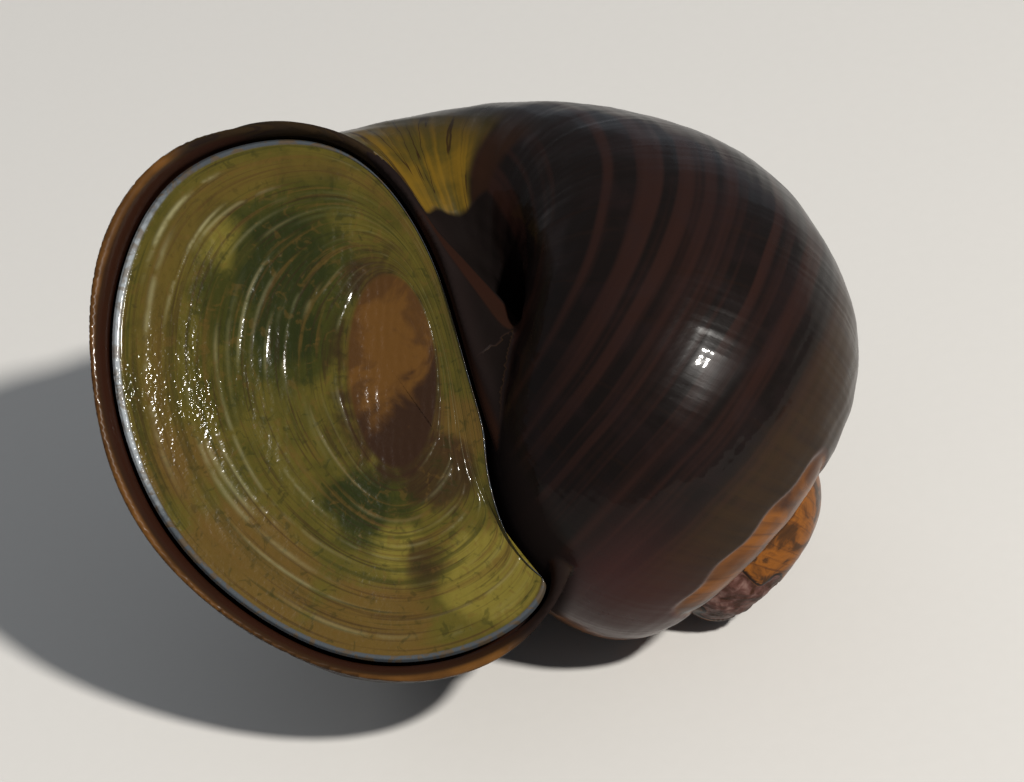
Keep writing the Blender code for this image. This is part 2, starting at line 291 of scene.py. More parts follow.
class MouthTable:
    """The operculum's outline read by bearing round a hub, which makes distances to it quick."""

    def __init__(self, mouth: Mouth) -> None:
        """Samples the outline.

        Args:
            mouth: the mouth that the outline belongs to.
        """
        self.mouth = mouth
        size = len(mouth.outline)
        places = np.linspace(0.0, size, mouth.bearings * 4, endpoint=False)
        points = ClosedSpline(mouth.outline).at(places)
        along = unit(np.roll(points, -1, axis=0) - np.roll(points, 1, axis=0))
        spoke = points - np.array(mouth.hub)
        radius = np.linalg.norm(spoke, axis=1)
        bearing = np.degrees(np.arctan2(spoke[:, 1], spoke[:, 0])) % TURN
        slant = (along[:, 1] * spoke[:, 0] - along[:, 0] * spoke[:, 1]) / radius
        order = np.argsort(bearing)
        self.bearing = bearing[order]
        self.radius = radius[order]
        self.slant = slant[order]
        self.place = places[order]
        self.room = ClosedSpline(mouth.room).at(self.place)
        self.sleeve = ClosedSpline(mouth.sleeve).at(self.place)

    def read(self, flat: Array) -> tuple:
        """Distance outside the outline, room and width of the sleeve, for places in the mouth."""
        spoke = flat - np.array(self.mouth.hub)
        radius = np.linalg.norm(spoke, axis=-1)
        bearing = np.degrees(np.arctan2(spoke[..., 1], spoke[..., 0])) % TURN
        columns = [
            np.interp(bearing, self.bearing, column, period=TURN)
            for column in (self.radius, self.slant, self.room, self.sleeve)
        ]
        return (radius - columns[0]) * columns[1], columns[2], columns[3]


@dataclass(frozen=True)
class Wear:
    """The worn patch on the apex: a slightly tilted, pitted plane."""

    depth: float = 3.5
    slope: tuple = (0.16, -0.1)
    roughness: float = 0.12
    seed: int = 7

    def above(self, points: Array) -> Array:
        """How far points lie above the worn surface."""
        coarse = Ripples(self.seed, 14, (0.1, 0.1), (0.55, 0.55))
        fine = Ripples(self.seed + 1, 14, (0.6, 0.6), (1.4, 1.4))
        x, y = points[..., 0], points[..., 1]
        rough = coarse.at(x, y) * self.roughness + fine.at(x, y) * self.roughness * 0.4
        return points[..., 2] - (self.slope[0] * x + self.slope[1] * y + rough - self.depth)


@dataclass
class ShellField:
    """Distance to the surface of the whole shell, below zero inside it."""

    spiral: Spiral = field(default_factory=Spiral)
    mouth: Mouth = field(default_factory=Mouth)
    wear: Wear = field(default_factory=Wear)
    early_turns: tuple = (-1, -2, -3)
    suture_blend: float = 0.16
    callus_blend: float = 3.2
    lip_blend: float = 0.30
    sleeve_blend: float = 0.5
    far: float = 60.0

    def __post_init__(self) -> None:
        """Prepares the quick tables."""
        self.radii = self.spiral.table()
        self.walls = MouthTable(self.mouth)

    def girth(self, points: Array, turn: Array) -> tuple:
        """Place round the cross-section, and the distance outside the tube there.

        Args:
            points: points in the shell's frame.
            turn: the degrees of growth at which each point is read.

        Returns:
            Degrees round the cross-section, and distances outside the tube.
        """
        size = self.spiral.size(turn)
        across = np.hypot(points[..., 0], points[..., 1]) / size - self.spiral.centre[0]
        below = -points[..., 2] / size - self.spiral.centre[1]
        angle = np.degrees(np.arctan2(below, across)) % TURN
        place = angle / self.spiral.girth_step
        low = place.astype(int)
        share = place - low
        radius = self.radii[low] * (1.0 - share) + self.radii[np.minimum(low + 1, len(self.radii) - 1)] * share
        return angle, (np.hypot(across, below) - radius) * size

    def swing(self, points: Array) -> Array:
        """Degrees round the axis, from -180 to 180."""
        return np.degrees(np.arctan2(-points[..., 1], points[..., 0]))

    def last_turn(self, points: Array) -> Array:
        """Distance to the last turn of the shell, with the hollow of its mouth.

        Args:
            points: points in the shell's frame.

        Returns:
            Distances, below zero inside.
        """
        turn = self.swing(points)
        tube = self.girth(points, turn)[1]
        past = np.radians(turn - self.spiral.end) * np.hypot(points[..., 0], points[..., 1])
        tube = np.maximum(tube, past)
        flat, depth = self.mouth.locate(points)
        hollow, out, sleeve = self.hollow(flat, depth)
        tube = soft_max(tube, -depth, self.lip_blend)
        collar = soft_max(out - sleeve, 0.12 - depth, 0.9)
        collar = soft_max(collar, depth - 6.6, 0.3)
        tube = soft_min(tube, collar, self.sleeve_blend)
        return soft_max(tube, -hollow, self.lip_blend)

    def hollow(self, flat: Array, depth: Array) -> tuple:
        """The hollow of the mouth.

        Args:
            flat: places in the plane of the mouth.
            depth: depths behind it.

        Returns:
            Distances to the hollow's wall, distances outside the operculum and widths of the sleeve.
        """
        towards = np.array(self.mouth.narrowing_towards)
        scale = 1.0 - self.mouth.narrowing * np.maximum(0.0, depth - self.mouth.straight_depth)
        scale = np.maximum(scale, 0.5)
        out, room, sleeve = self.walls.read(towards + (flat - towards) / scale[..., None])
        share = np.clip(1.0 - depth / self.mouth.seat_depth, 0.0, 3.0)
        wall = self.mouth.clearance + (room - self.mouth.clearance) * share**self.mouth.seat_hollow
        hollow = np.maximum(out - wall, depth - self.mouth.floor_depth)
        return hollow, out, sleeve

    def turns(self, points: Array) -> list:
        """Distances to the last turn and to each turn before it."""
        swing = self.swing(points)
        found = [self.last_turn(points)]
        for index in self.early_turns:
            turn = swing + TURN * index
            tube = self.girth(points, turn)[1]
            found.append(np.where(turn > self.spiral.tip_start, tube, self.far))
        return found

    def at(self, points: Array) -> Array:
        """Distance to the shell's surface, below zero inside."""
        last, *early = self.turns(points)
        turns = np.sort(np.stack([last, *early]), axis=0)
        total = soft_min(turns[0], turns[1], self.suture_blend)
        flat, depth = self.mouth.locate(points)
        away = np.sum((flat - np.array(self.mouth.callus)) ** 2, axis=-1) + (depth - self.mouth.callus_depth) ** 2
        weight = np.exp(-away / self.mouth.callus_reach**2)
        callus = soft_min(last, early[0], 0.05 + self.callus_blend * weight)
        callus = soft_max(callus, -self.hollow(flat, depth)[0], self.lip_blend)
        total = np.where(weight > 0.02, np.minimum(total, callus), total)
        return soft_max(total, self.wear.above(points), 0.25)

    def slope(self, points: Array, step: float = 0.02) -> Array:
        """Gradient of the distance by four samples round each point."""
        corners = np.array(((1, 1, 1), (1, -1, -1), (-1, 1, -1), (-1, -1, 1)), dtype=float)
        return sum(corner * self.at(points + corner * step)[..., None] for corner in corners) / (4.0 * step)


@dataclass
class Skinner:
    """Turns a distance field into a closed mesh of even quads that lie exactly on its surface."""

    cell: float = 0.26
    block: int = 8
    margin: float = 1.5
    settle_rounds: int = 3
    batch: int = 400000

    def in_batches(self, function, points: Array) -> Array:
        """Values of a function of points, worked out a batch at a time."""
        parts = [function(points[i:i + self.batch]) for i in range(0, len(points), self.batch)]
        return np.concatenate(parts)

    def skin(self, shape: ShellField, low: Array, high: Array) -> tuple:
        """Meshes the surface.

        Args:
            shape: the distance field.
            low: lowest corner of the room that holds the surface.
            high: highest corner of that room.

        Returns:
            Points and quads.
        """
        low = np.asarray(low) - self.margin
        span = self.cell * self.block
        blocks = np.ceil((np.asarray(high) + self.margin - low) / span).astype(int)
        centres = np.stack(np.meshgrid(*[np.arange(n) for n in blocks], indexing="ij"), axis=-1)
        middle = low + (centres.reshape(-1, 3) + 0.5) * span
        coarse = self.in_batches(shape.at, middle)
        near = np.abs(coarse) < span * 1.35
        values = np.repeat(np.repeat(np.repeat(
            coarse.reshape(blocks), self.block, 0), self.block, 1), self.block, 2).astype(np.float32)
        inside = np.stack(np.meshgrid(*[np.arange(self.block)] * 3, indexing="ij"), axis=-1).reshape(-1, 3)
        starts = centres.reshape(-1, 3)[near] * self.block
        index = (starts[:, None, :] + inside[None]).reshape(-1, 3)
        fine = self.in_batches(shape.at, low + index * self.cell)
        values[index[:, 0], index[:, 1], index[:, 2]] = fine
        grid = openvdb.FloatGrid(self.margin)
        grid.copyFromArray(np.ascontiguousarray(values))
        points, quads = grid.convertToQuads(isovalue=0.0)
        points = low + np.asarray(points, dtype=float) * self.cell
        for _ in range(self.settle_rounds):
            points = self.in_batches(lambda batch: self.settle(shape, batch), points)
        return points, np.asarray(quads, dtype=int)

    def settle(self, shape: ShellField, points: Array) -> Array:
        """Points moved onto the surface along the slope of the field, by less than a cell."""
        slope = shape.slope(points)
        steep = np.maximum(np.sum(slope * slope, axis=-1), 0.25)
        step = -shape.at(points)[:, None] * slope / steep[:, None]
        reach = np.linalg.norm(step, axis=1, keepdims=True)
        return points + step * np.minimum(1.0, self.cell * 0.5 / np.maximum(reach, 1e-9))


def corner_normals(points: Array, faces: Array) -> Array:
    """Unit normals at the points of a mesh of quads, weighted by area."""
    across = points[faces[:, 2]] - points[faces[:, 0]]
    along = points[faces[:, 3]] - points[faces[:, 1]]
    area = np.cross(across, along)
    total = np.zeros_like(points)
    for corner in range(faces.shape[1]):
        np.add.at(total, faces[:, corner], area)
    return total / np.maximum(np.linalg.norm(total, axis=1, keepdims=True), 1e-12)


def mesh_piece(name: str, points: Array, faces: Array, marks: dict, normals: Array = None) -> bpy.types.Object:
    """A new object from points and faces.

    Args:
        name: name of the object.
        points: places in metres.
        faces: corners of each face; a face whose last two corners are the same is a triangle.
        marks: numbers for each point, kept on the mesh under their names for the finishes to read.
        normals: normals for each point, or none for the mesh's own.

    Returns:
        The object, linked to the scene.
    """
    mesh = bpy.data.meshes.new(name)
    corners = [tuple(face) if face[2] != face[3] else tuple(face[:3]) for face in faces.tolist()]
    mesh.from_pydata(points.tolist(), [], corners)
    for key, numbers in marks.items():
        layer = mesh.attributes.new(key, "FLOAT", "POINT")
        layer.data.foreach_set("value", np.asarray(numbers, dtype=np.float32))
    mesh.shade_smooth()
    if normals is not None:
        mesh.normals_split_custom_set_from_vertices(normals.tolist())
    mesh.validate()
    piece = bpy.data.objects.new(name, mesh)
    bpy.context.scene.collection.objects.link(piece)
    return piece


class Value:
    """A number in a material: a socket whose arithmetic adds Math nodes."""

    def __init__(self, graph: "Graph", socket: bpy.types.NodeSocket) -> None:
        """Wraps a socket of a graph."""
        self.graph = graph
        self.socket = socket

    def math(self, operation: str, *others: object, clamp: bool = False) -> "Value":
        """The result of a Math node that begins with this number."""
        settings = {"operation": operation, "use_clamp": clamp}
        return self.graph.node("ShaderNodeMath", settings, dict(enumerate((self, *others))))

    def __add__(self, other: object) -> "Value":
        """This plus other."""
        return self.math("ADD", other)

    __radd__ = __add__

    def __sub__(self, other: object) -> "Value":
        """This minus other."""
        return self.math("SUBTRACT", other)

    def __rsub__(self, other: object) -> "Value":
        """Other minus this."""
        return self.graph.node("ShaderNodeMath", {"operation": "SUBTRACT"}, {0: other, 1: self})

    def __mul__(self, other: object) -> "Value":
        """This times other."""
        return self.math("MULTIPLY", other)

    __rmul__ = __mul__

    def __truediv__(self, other: object) -> "Value":
        """This over other."""
        return self.math("DIVIDE", other)

    def __pow__(self, other: object) -> "Value":
        """This to the power of other."""
        return self.math("POWER", other)

    def clamped(self) -> "Value":
        """This kept between 0 and 1."""
        return self.math("ADD", 0.0, clamp=True)

    def least(self, other: object) -> "Value":
        """The lesser of this and other."""
        return self.math("MINIMUM", other)

    def most(self, other: object) -> "Value":
        """The greater of this and other."""
        return self.math("MAXIMUM", other)


class Graph:
    """The nodes of one material."""

    def __init__(self, name: str) -> None:
        """Starts a material with its shader.

        Args:
            name: name of the material.
        """
        self.material = bpy.data.materials.new(name)
        self.material.use_nodes = True
        self.nodes = self.material.node_tree.nodes
        self.links = self.material.node_tree.links
        self.shader = self.nodes["Principled BSDF"]

    def node(self, kind: str, settings: dict, inputs: dict, output: object = 0) -> Value:
        """Adds a node.

        Args:
            kind: type of the node.
            settings: properties to set first; "stops" fills a colour ramp with (place, colour) pairs.
            inputs: values or links for its sockets, by name or number.
            output: name or number of the socket that is wanted.

        Returns:
            That socket as a value.
        """
        node = self.nodes.new(kind)
        for key, setting in settings.items():
            if key == "stops":
                stops = node.color_ramp.elements
                while len(stops) < len(setting):
                    stops.new(1.0)
                for stop, (place, colour) in zip(stops, setting):
                    stop.position = place
                    stop.color = (*colour, 1.0)
            else:
                setattr(node, key, setting)
        for key, value in inputs.items():
            self.feed(node.inputs[key], value)
        return Value(self, node.outputs[output])

    def feed(self, socket: bpy.types.NodeSocket, value: object) -> None:
        """Links a value to a socket, or sets the socket to a constant."""
        if isinstance(value, Value):
            self.links.new(value.socket, socket)
        elif isinstance(value, tuple) and len(value) == 3 and socket.type == "RGBA":
            socket.default_value = (*value, 1.0)
        else:
            socket.default_value = value

    def mark(self, name: str) -> Value:
        """A number kept on the mesh."""
        return self.node("ShaderNodeAttribute", {"attribute_name": name}, {}, "Fac")

    def place(self) -> Value:
        """Position on the object, in metres."""
        return self.node("ShaderNodeTexCoord", {}, {}, "Object")

    def plane(self, x: object, y: object, z: object = 0.0) -> Value:
        """Three numbers as a position for a texture."""
        return self.node("ShaderNodeCombineXYZ", {}, {0: x, 1: y, 2: z})

    def noise(self, where: Value, scale: float, detail: float = 2.0, distortion: float = 0.0) -> Value:
        """Cloudy noise from 0 to 1 round a half."""
        inputs = {"Vector": where, "Scale": scale, "Detail": detail, "Distortion": distortion}
        return self.node("ShaderNodeTexNoise", {}, inputs, 0)

    def cells(self, where: Value, scale: float, output: str = "Distance") -> Value:
        """Distance to the nearest of many scattered points."""
        return self.node("ShaderNodeTexVoronoi", {}, {"Vector": where, "Scale": scale}, output)

    def step(self, value: Value, low: float, high: float) -> Value:
        """A soft step from 0 at low to 1 at high; high may be the lesser."""
        inputs = {"Value": value, "From Min": low, "From Max": high}
        return self.node("ShaderNodeMapRange", {"interpolation_type": "SMOOTHSTEP"}, inputs)

    def band(self, value: Value, low: float, high: float, soft: float) -> Value:
        """1 between low and high, fading over soft on both sides."""
        return self.step(value, low - soft, low + soft) * self.step(value, high + soft, high - soft)

    def ramp(self, value: Value, *stops: tuple) -> Value:
        """Colours along a number."""
        return self.node("ShaderNodeValToRGB", {"stops": stops}, {"Fac": value})

    def blend(self, share: object, first: object, second: object, kind: str = "MIX") -> Value:
        """Two colours mixed by a share of the second."""
        settings = {"data_type": "RGBA", "blend_type": kind}
        return self.node("ShaderNodeMix", settings, {0: share, 6: first, 7: second}, 2)

    def bump(self, height: Value, strength: float, distance: float, under: Value = None) -> Value:
        """A bumped normal; distance is the height of a value of 1, in metres."""
        inputs = {"Height": height, "Strength": strength, "Distance": distance}
        if under is not None:
            inputs["Normal"] = under
        return self.node("ShaderNodeBump", {}, inputs)

    def surface(self, **inputs: object) -> bpy.types.Material:
        """Feeds the shader's sockets, with spaces written as underscores, and returns the material."""
        for key, value in inputs.items():
            self.feed(self.shader.inputs[key.replace("_", " ")], value)
        return self.material


@dataclass(frozen=True)
class WetShell:
    """The shell's finish: dark wet skin, a yellow and green base, a worn spire and a horny lip, with painted shade in
    the umbilicus, along the crease between turns and in the gap beside the operculum, and a painted pink reflection
    on the lobe.
    """

    dark: tuple = (0.0042, 0.0028, 0.0024)
    warm: tuple = (0.0150, 0.0062, 0.0046)
    plum: tuple = (0.0105, 0.0054, 0.0054)
    olive: tuple = (0.0185, 0.0095, 0.0036)
    # Painted pink reflected light on the lobe.
    painted_pink_bounce: tuple = (0.0360, 0.0105, 0.0095)
    fan: tuple = (0.092, 0.053, 0.0052)
    fan_green: tuple = (0.038, 0.028, 0.0048)
    umber: tuple = (0.0125, 0.0052, 0.0025)
    # Near-black: painted shade in the umbilicus and along the crease between turns, and the real dark outline of the
    # worn apex.
    shade_and_outline_black: tuple = (0.0035, 0.0021, 0.0018)
    ochre: tuple = (0.150, 0.050, 0.0060)
    amber: tuple = (0.080, 0.027, 0.0048)
    rust: tuple = (0.027, 0.0090, 0.0036)
    lilac: tuple = (0.068, 0.029, 0.023)
    chalk: tuple = (0.160, 0.095, 0.080)
    pink: tuple = (0.085, 0.032, 0.023)
    lip: tuple = (0.085, 0.036, 0.0080)
    lip_outside: tuple = (0.021, 0.0100, 0.0038)
    lip_wall: tuple = (0.0160, 0.0055, 0.0030)
    # The inner lip's own dark colour, darkened to near-black as painted shade of the gap beside the operculum.
    inner_lip: tuple = (0.0070, 0.0042, 0.0038)

    def body(self, g: Graph, streaks: Value, cloud: Value) -> Value:
        """Colour of the last turn: near-black with faint warm bands, an olive shoulder and a painted pink reflection
        low on the lobe.
        """
        turn, girth, growth = g.mark("turn"), g.mark("girth"), g.mark("growth")
        sway = (g.noise(g.place(), 90.0, 1.0) - 0.5) * 0.5
        bands = g.noise(g.plane(girth * 0.115 + sway, growth * 0.0035), 1.0, 2.0)
        base = g.blend(g.step(bands, 0.46, 0.62) * 0.85, self.dark, self.warm)
        base = g.blend(g.step(cloud, 0.40, 0.75) * 0.4, base, self.plum)
        base = g.blend(g.step(streaks, 0.52, 0.75) * 0.2, base, self.umber)
        shoulder = g.step(girth + sway * 6.0, -22.0, -36.0) * g.step(turn, -345.0, -300.0)
        base = g.blend(shoulder * (g.step(streaks, 0.2, 0.7) * 0.5 + 0.45), base, self.olive)
        # Painted reflection: pink bounced light on the lobe of the last turn.
        painted_pink_bounce = g.step(girth, 10.0, -20.0) * g.step(turn, -262.0, -305.0) * g.step(turn, -352.0, -330.0)
        return g.blend(painted_pink_bounce * 0.75, base, self.painted_pink_bounce)

    def pit_shade_share(self, g: Graph) -> Value:
        """Share of painted shade: how far a place lies inside the hollow of the base, past the arc that ends the fan,
        and on the deep walls of earlier turns.
        """
        turn, girth = g.mark("turn"), g.mark("girth")
        past = (turn + 105.0).math("MINIMUM", 0.0).math("MAXIMUM", -56.0)
        sway = (g.noise(g.place(), 260.0, 3.0) - 0.5) * 3.0
        arc = girth + sway + past * past * 0.0048 - g.mark("collar") * g.step(turn, -150.0, -138.0) * 9.0
        beside_fan = g.step(arc, 122.6, 125.0) * g.step(turn + sway, -176.0, -160.0)
        wall = g.step(girth, 127.0, 142.0).most(g.step(girth, -93.0, -97.0))
        deep = wall * g.step(turn, -660.0, -560.0)
        return beside_fan.most(deep)

    def fan_colour(self, g: Graph, base: Value, streaks: Value, cloud: Value) -> Value:
        """Adds the yellow fan on the base of the shell, its dark lines, and near-black painted shade in the hollow
        beside it.
        """
        turn, girth, growth = g.mark("turn"), g.mark("girth"), g.mark("growth")
        sway = (g.noise(g.place(), 150.0, 2.0) - 0.5) * 5.0
        zone = g.step(girth + sway, 80.0, 106.0) * g.step(turn + sway, -150.0, -141.0)
        zone = zone * g.step(turn, 70.0, 0.0)
        smears = g.noise(g.plane(growth * 0.16, girth * 0.012), 1.0, 3.0, 0.3)
        fan = g.blend(g.step(smears * 0.6 + cloud * 0.4, 0.38, 0.60), self.fan_green, self.fan)
        fan = g.blend(g.step(streaks, 0.50, 0.70) * 0.25, fan, self.fan_green)
        fan = g.blend(g.step(girth, 106.0, 82.0) * 0.85, fan, self.fan_green)
        vein = g.noise(g.plane(growth * 0.085, girth * 0.010), 1.0, 3.0, 0.6)
        vein = g.step((vein - 0.5).math("ABSOLUTE"), 0.016, 0.003)
        fan = g.blend(vein * 0.8, fan, self.umber)
        base = g.blend(zone, base, fan)
        strip = g.band(turn + sway, -163.0, -148.0, 3.0) * g.step(girth, 80.0, 96.0)
        base = g.blend(strip * 0.9, base, self.umber)
        # Painted shade: the hollow of the base and the deep walls of earlier turns made near-black.
        return g.blend(self.pit_shade_share(g), base, self.shade_and_outline_black)

    def spire(self, g: Graph, base: Value, streaks: Value) -> Value:
        """Adds the worn, ochre turns of the spire, and the bare grey patch round the apex."""
        turn, girth, growth = g.mark("turn"), g.mark("girth"), g.mark("growth")
        shelf, worn, place = g.mark("shelf"), g.mark("worn"), g.place()
        patches = g.noise(g.plane(growth * 0.055, girth * 0.045), 1.0, 5.0, 0.7)
        horn = g.ramp(patches, (0.34, self.rust), (0.46, self.amber), (0.58, self.ochre), (0.70, self.amber))
        horn = g.blend(g.step(streaks, 0.50, 0.68) * 0.55, horn, self.rust)
        early = g.step(turn, -322.0, -336.0)
        horn = g.blend(early * g.step(patches, 0.52, 0.44) * 0.6, horn, self.olive)
        base = g.blend(early.most(g.step(shelf, 0.0, 1.2)).clamped(), base, horn)
        base = g.blend(g.band(shelf, -0.5, 0.9, 0.6) * 0.25, base, self.pink)
        grain = g.noise(place, 1100.0, 5.0, 0.4)
        bare = g.ramp(grain, (0.36, self.rust), (0.52, self.lilac), (0.74, self.chalk))
        base = g.blend(g.band(worn, 0.10, 0.60, 0.12) * 0.95, base, self.shade_and_outline_black)
        return g.blend(g.step(worn, 0.50, 0.80), base, bare)

    def material(self) -> bpy.types.Material:
        """Builds the material from the numbers kept on the mesh."""
        g = Graph("wet_shell")
        girth, growth, worn, seam = g.mark("girth"), g.mark("growth"), g.mark("worn"), g.mark("seam")
        rim, outer, hollow, collar = g.mark("rim"), g.mark("outer"), g.mark("hollow"), g.mark("collar")
        place = g.place()
        streaks = g.noise(g.plane(growth * 0.42, girth * 0.016), 1.0, 4.0, 0.4)
        cloud = g.noise(place, 260.0, 4.0, 0.6)
        base = self.body(g, streaks, cloud)
        base = self.fan_colour(g, base, streaks, cloud)
        base = self.spire(g, base, streaks)
        # Painted shade: near-black along the crease where two turns meet.
        base = g.blend(g.step(seam, 0.10, 0.02) * 0.9, base, self.shade_and_outline_black)
        outside = g.step(rim, 6.0, 0.6) * outer
        base = g.blend(outside * (g.step(streaks, 0.3, 0.6) * 0.4 + 0.45), base, self.lip_outside)
        edge = g.step(rim, 0.30, 0.06) * (g.step(cloud, 0.25, 0.65) * 0.55 + 0.45)
        base = g.blend(edge * outer, base, self.lip)
        beside = g.band(girth, 90.0, 131.0, 5.0) * g.step(rim, 1.6, 3.2) * g.step(g.mark("turn"), -150.0, -138.0)
        # Near-black on the collar: the inner lip's own dark colour deepened by painted shade of the gap beside the
        # operculum.
        base = g.blend(collar * (1.0 - beside) * 0.9, base, self.inner_lip)
        wall = g.blend(g.step(cloud, 0.42, 0.70) * 0.45, self.lip_wall, self.umber)
        base = g.blend(hollow, base, wall)
        fine = g.noise(g.plane(growth * 1.2, girth * 0.04), 1.0, 3.0)
        spiral = g.noise(g.plane(growth * 0.01, girth * 0.6), 1.0, 2.0)
        grit = g.noise(place, 4200.0, 3.0)
        height = fine * 0.6 + spiral * 0.4 + grit * (worn * 1.8 + 0.04)
        shade = self.pit_shade_share(g).most(collar * (1.0 - beside))
        rough = g.step(cloud, 0.3, 0.8) * 0.10 + 0.27 + worn * 0.25 + shade * 0.6
        return g.surface(
            Base_Color=base, Roughness=rough, Normal=g.bump(height, 0.16, 0.00005), Specular_IOR_Level=0.06,
            Coat_Weight=(1.0 - shade) * 0.24, Coat_Roughness=0.06, Coat_IOR=1.33,
        )


@dataclass(frozen=True)
class Stain:
    """A soft stain on the operculum: its place in the plane of the mouth, its reach and its strength."""

    east: float
    north: float
    reach: float
    strength: float


@dataclass(frozen=True)
class WetHorn:
    """The operculum's finish: wet yellow and green horn, ringed by its lines of growth, with a painted sky reflection
    on its rim and painted highlights on the ridges of its lit side.
    """

    yellow: tuple = (0.055, 0.044, 0.0064)
    bright: tuple = (0.115, 0.092, 0.0150)
    green: tuple = (0.0190, 0.0205, 0.0028)
    moss: tuple = (0.0095, 0.0125, 0.0022)
    # Pale growth ridges; on the lit side they also carry painted highlights.
    pale: tuple = (0.200, 0.185, 0.095)
    tan: tuple = (0.070, 0.039, 0.0085)
    brown: tuple = (0.0170, 0.0075, 0.0033)
    nucleus: tuple = (0.064, 0.0285, 0.0056)
    # Painted sky reflection on the rim's bevel: dim, and bright where the rim faces the light.
    painted_sky_sheen: tuple = (0.040, 0.046, 0.052)
    painted_bright_sheen: tuple = (0.220, 0.240, 0.255)
    green_stains: tuple = (
        Stain(12.0, -17.0, 8.5, 1.0), Stain(19.0, 1.0, 5.0, 0.8), Stain(6.0, -20.0, 5.0, 0.6),
        Stain(21.0, -14.0, 6.0, 0.45), Stain(15.0, -12.0, 4.5, 0.8),
    )
    bright_stains: tuple = (Stain(16.2, 11.0, 5.0, 1.0), Stain(20.0, 5.0, 3.5, 0.6), Stain(13.5, -21.5, 3.5, 0.5))
    moss_stains: tuple = (Stain(11.0, -17.5, 5.0, 1.0), Stain(19.5, 0.0, 3.2, 0.8), Stain(14.5, -13.5, 3.4, 0.9))
    brown_stains: tuple = (
        Stain(13.8, -3.0, 6.0, 0.55), Stain(19.0, 7.0, 2.8, 0.6), Stain(6.0, -12.0, 4.5, 0.5),
        Stain(13.5, 2.5, 4.0, 0.9),
    )
    tan_stains: tuple = (
        Stain(30.0, -2.0, 7.5, 1.0), Stain(26.5, 8.5, 7.0, 0.9), Stain(10.0, 1.5, 3.6, 0.8), Stain(27.0, -12.0, 5.0, 0.6),
    )
    grainy_spots: tuple = (Stain(23.0, -14.4, 3.6, 1.0), Stain(25.8, -18.6, 3.4, 1.0), Stain(24.0, -17.0, 8.0, 0.45))

    def cover(self, g: Graph, stains: tuple) -> Value:
        """Strength of a group of stains, falling off from the middle of each."""
        east, north = g.mark("east"), g.mark("north")
        total = None
        for spot in stains:
            away = ((east - spot.east) ** 2.0 + (north - spot.north) ** 2.0) / spot.reach**2
            share = (1.0 - away).clamped() * spot.strength
            total = share if total is None else total.most(share)
        return total

    def stain(self, g: Graph, stains: tuple, mottle: Value) -> Value:
        """Strength of a group of stains, broken up by mottling."""
        return g.step(self.cover(g, stains) + (mottle - 0.5) * 1.1, 0.22, 0.62)

    def material(self) -> bpy.types.Material:
        """Builds the material from the numbers kept on the mesh."""
        g = Graph("wet_horn")
        ring, ridge, back = g.mark("ring"), g.mark("ridge"), g.mark("back")
        east, north, sweep_x, sweep_y = g.mark("east"), g.mark("north"), g.mark("sweep_x"), g.mark("sweep_y")
        flat = g.plane(east, north)
        mottle = g.noise(flat, 0.30, 5.0, 0.8)
        grain = g.noise(flat, 2.6, 4.0, 0.4)
        lines = g.noise(g.plane(ring * 40.0, sweep_x * 0.9, sweep_y * 0.9), 1.0, 4.0, 0.2)
        hair = g.noise(g.plane(ring * 110.0, sweep_x * 1.6, sweep_y * 1.6), 1.0, 3.0, 0.1)
        smear = mottle * 0.65 + lines * 0.35
        base = g.blend(g.step(smear, 0.44, 0.62) * 0.45, self.yellow, self.green)
        base = g.blend(self.stain(g, self.green_stains, smear) * 0.9, base, self.green)
        base = g.blend(self.stain(g, self.tan_stains, smear) * 0.75, base, self.tan)
        base = g.blend(self.stain(g, self.bright_stains, smear) * 0.8, base, self.bright)
        base = g.blend(self.stain(g, self.moss_stains, smear) * 0.8, base, self.moss)
        base = g.blend(g.step(lines, 0.54, 0.68) * 0.45, base, self.tan)
        base = g.blend(g.step(lines, 0.46, 0.34) * 0.55, base, self.moss)
        base = g.blend(self.stain(g, self.brown_stains, smear) * 0.8, base, self.brown)
        blotch = g.noise(flat, 1.1, 5.0, 0.9)
        base = g.blend(g.step(blotch, 0.56, 0.68) * 0.45, base, self.moss)
        base = g.blend(g.step(blotch, 0.44, 0.32) * 0.35, base, self.tan)
        base = g.blend(g.step(hair, 0.52, 0.70) * 0.5, base, self.brown)
        base = g.blend(g.band(ring, 0.31, 0.37, 0.03) * g.step(smear, 0.40, 0.60) * 0.75, base, self.brown)
        rim_tan = g.band(ring, 0.84, 0.93, 0.04) * g.step(north, 4.0, -16.0)
        base = g.blend(rim_tan * 0.4, base, self.tan)
        swirl = g.noise(flat, 0.35, 4.0, 1.2)
        heart = g.blend(g.step(swirl * 0.6 + (north + 4.6) * 0.09, 0.24, 0.48), self.nucleus, self.brown)
        heart = g.blend(g.step(swirl + ring, 0.66, 0.86) * 0.5, heart, self.brown)
        base = g.blend(g.step(ring, 0.318, 0.285), base, heart)
        # Painted highlight: the pale ridges grow stronger towards the side that faces the light.
        sunlit_side = g.step(east - north * 0.6 + grain * 3.0, 18.0, 34.0) * 0.7 + 0.22
        base = g.blend((ridge * sunlit_side * g.step(mottle, 0.36, 0.58)).clamped() * 0.9, base, self.pale)
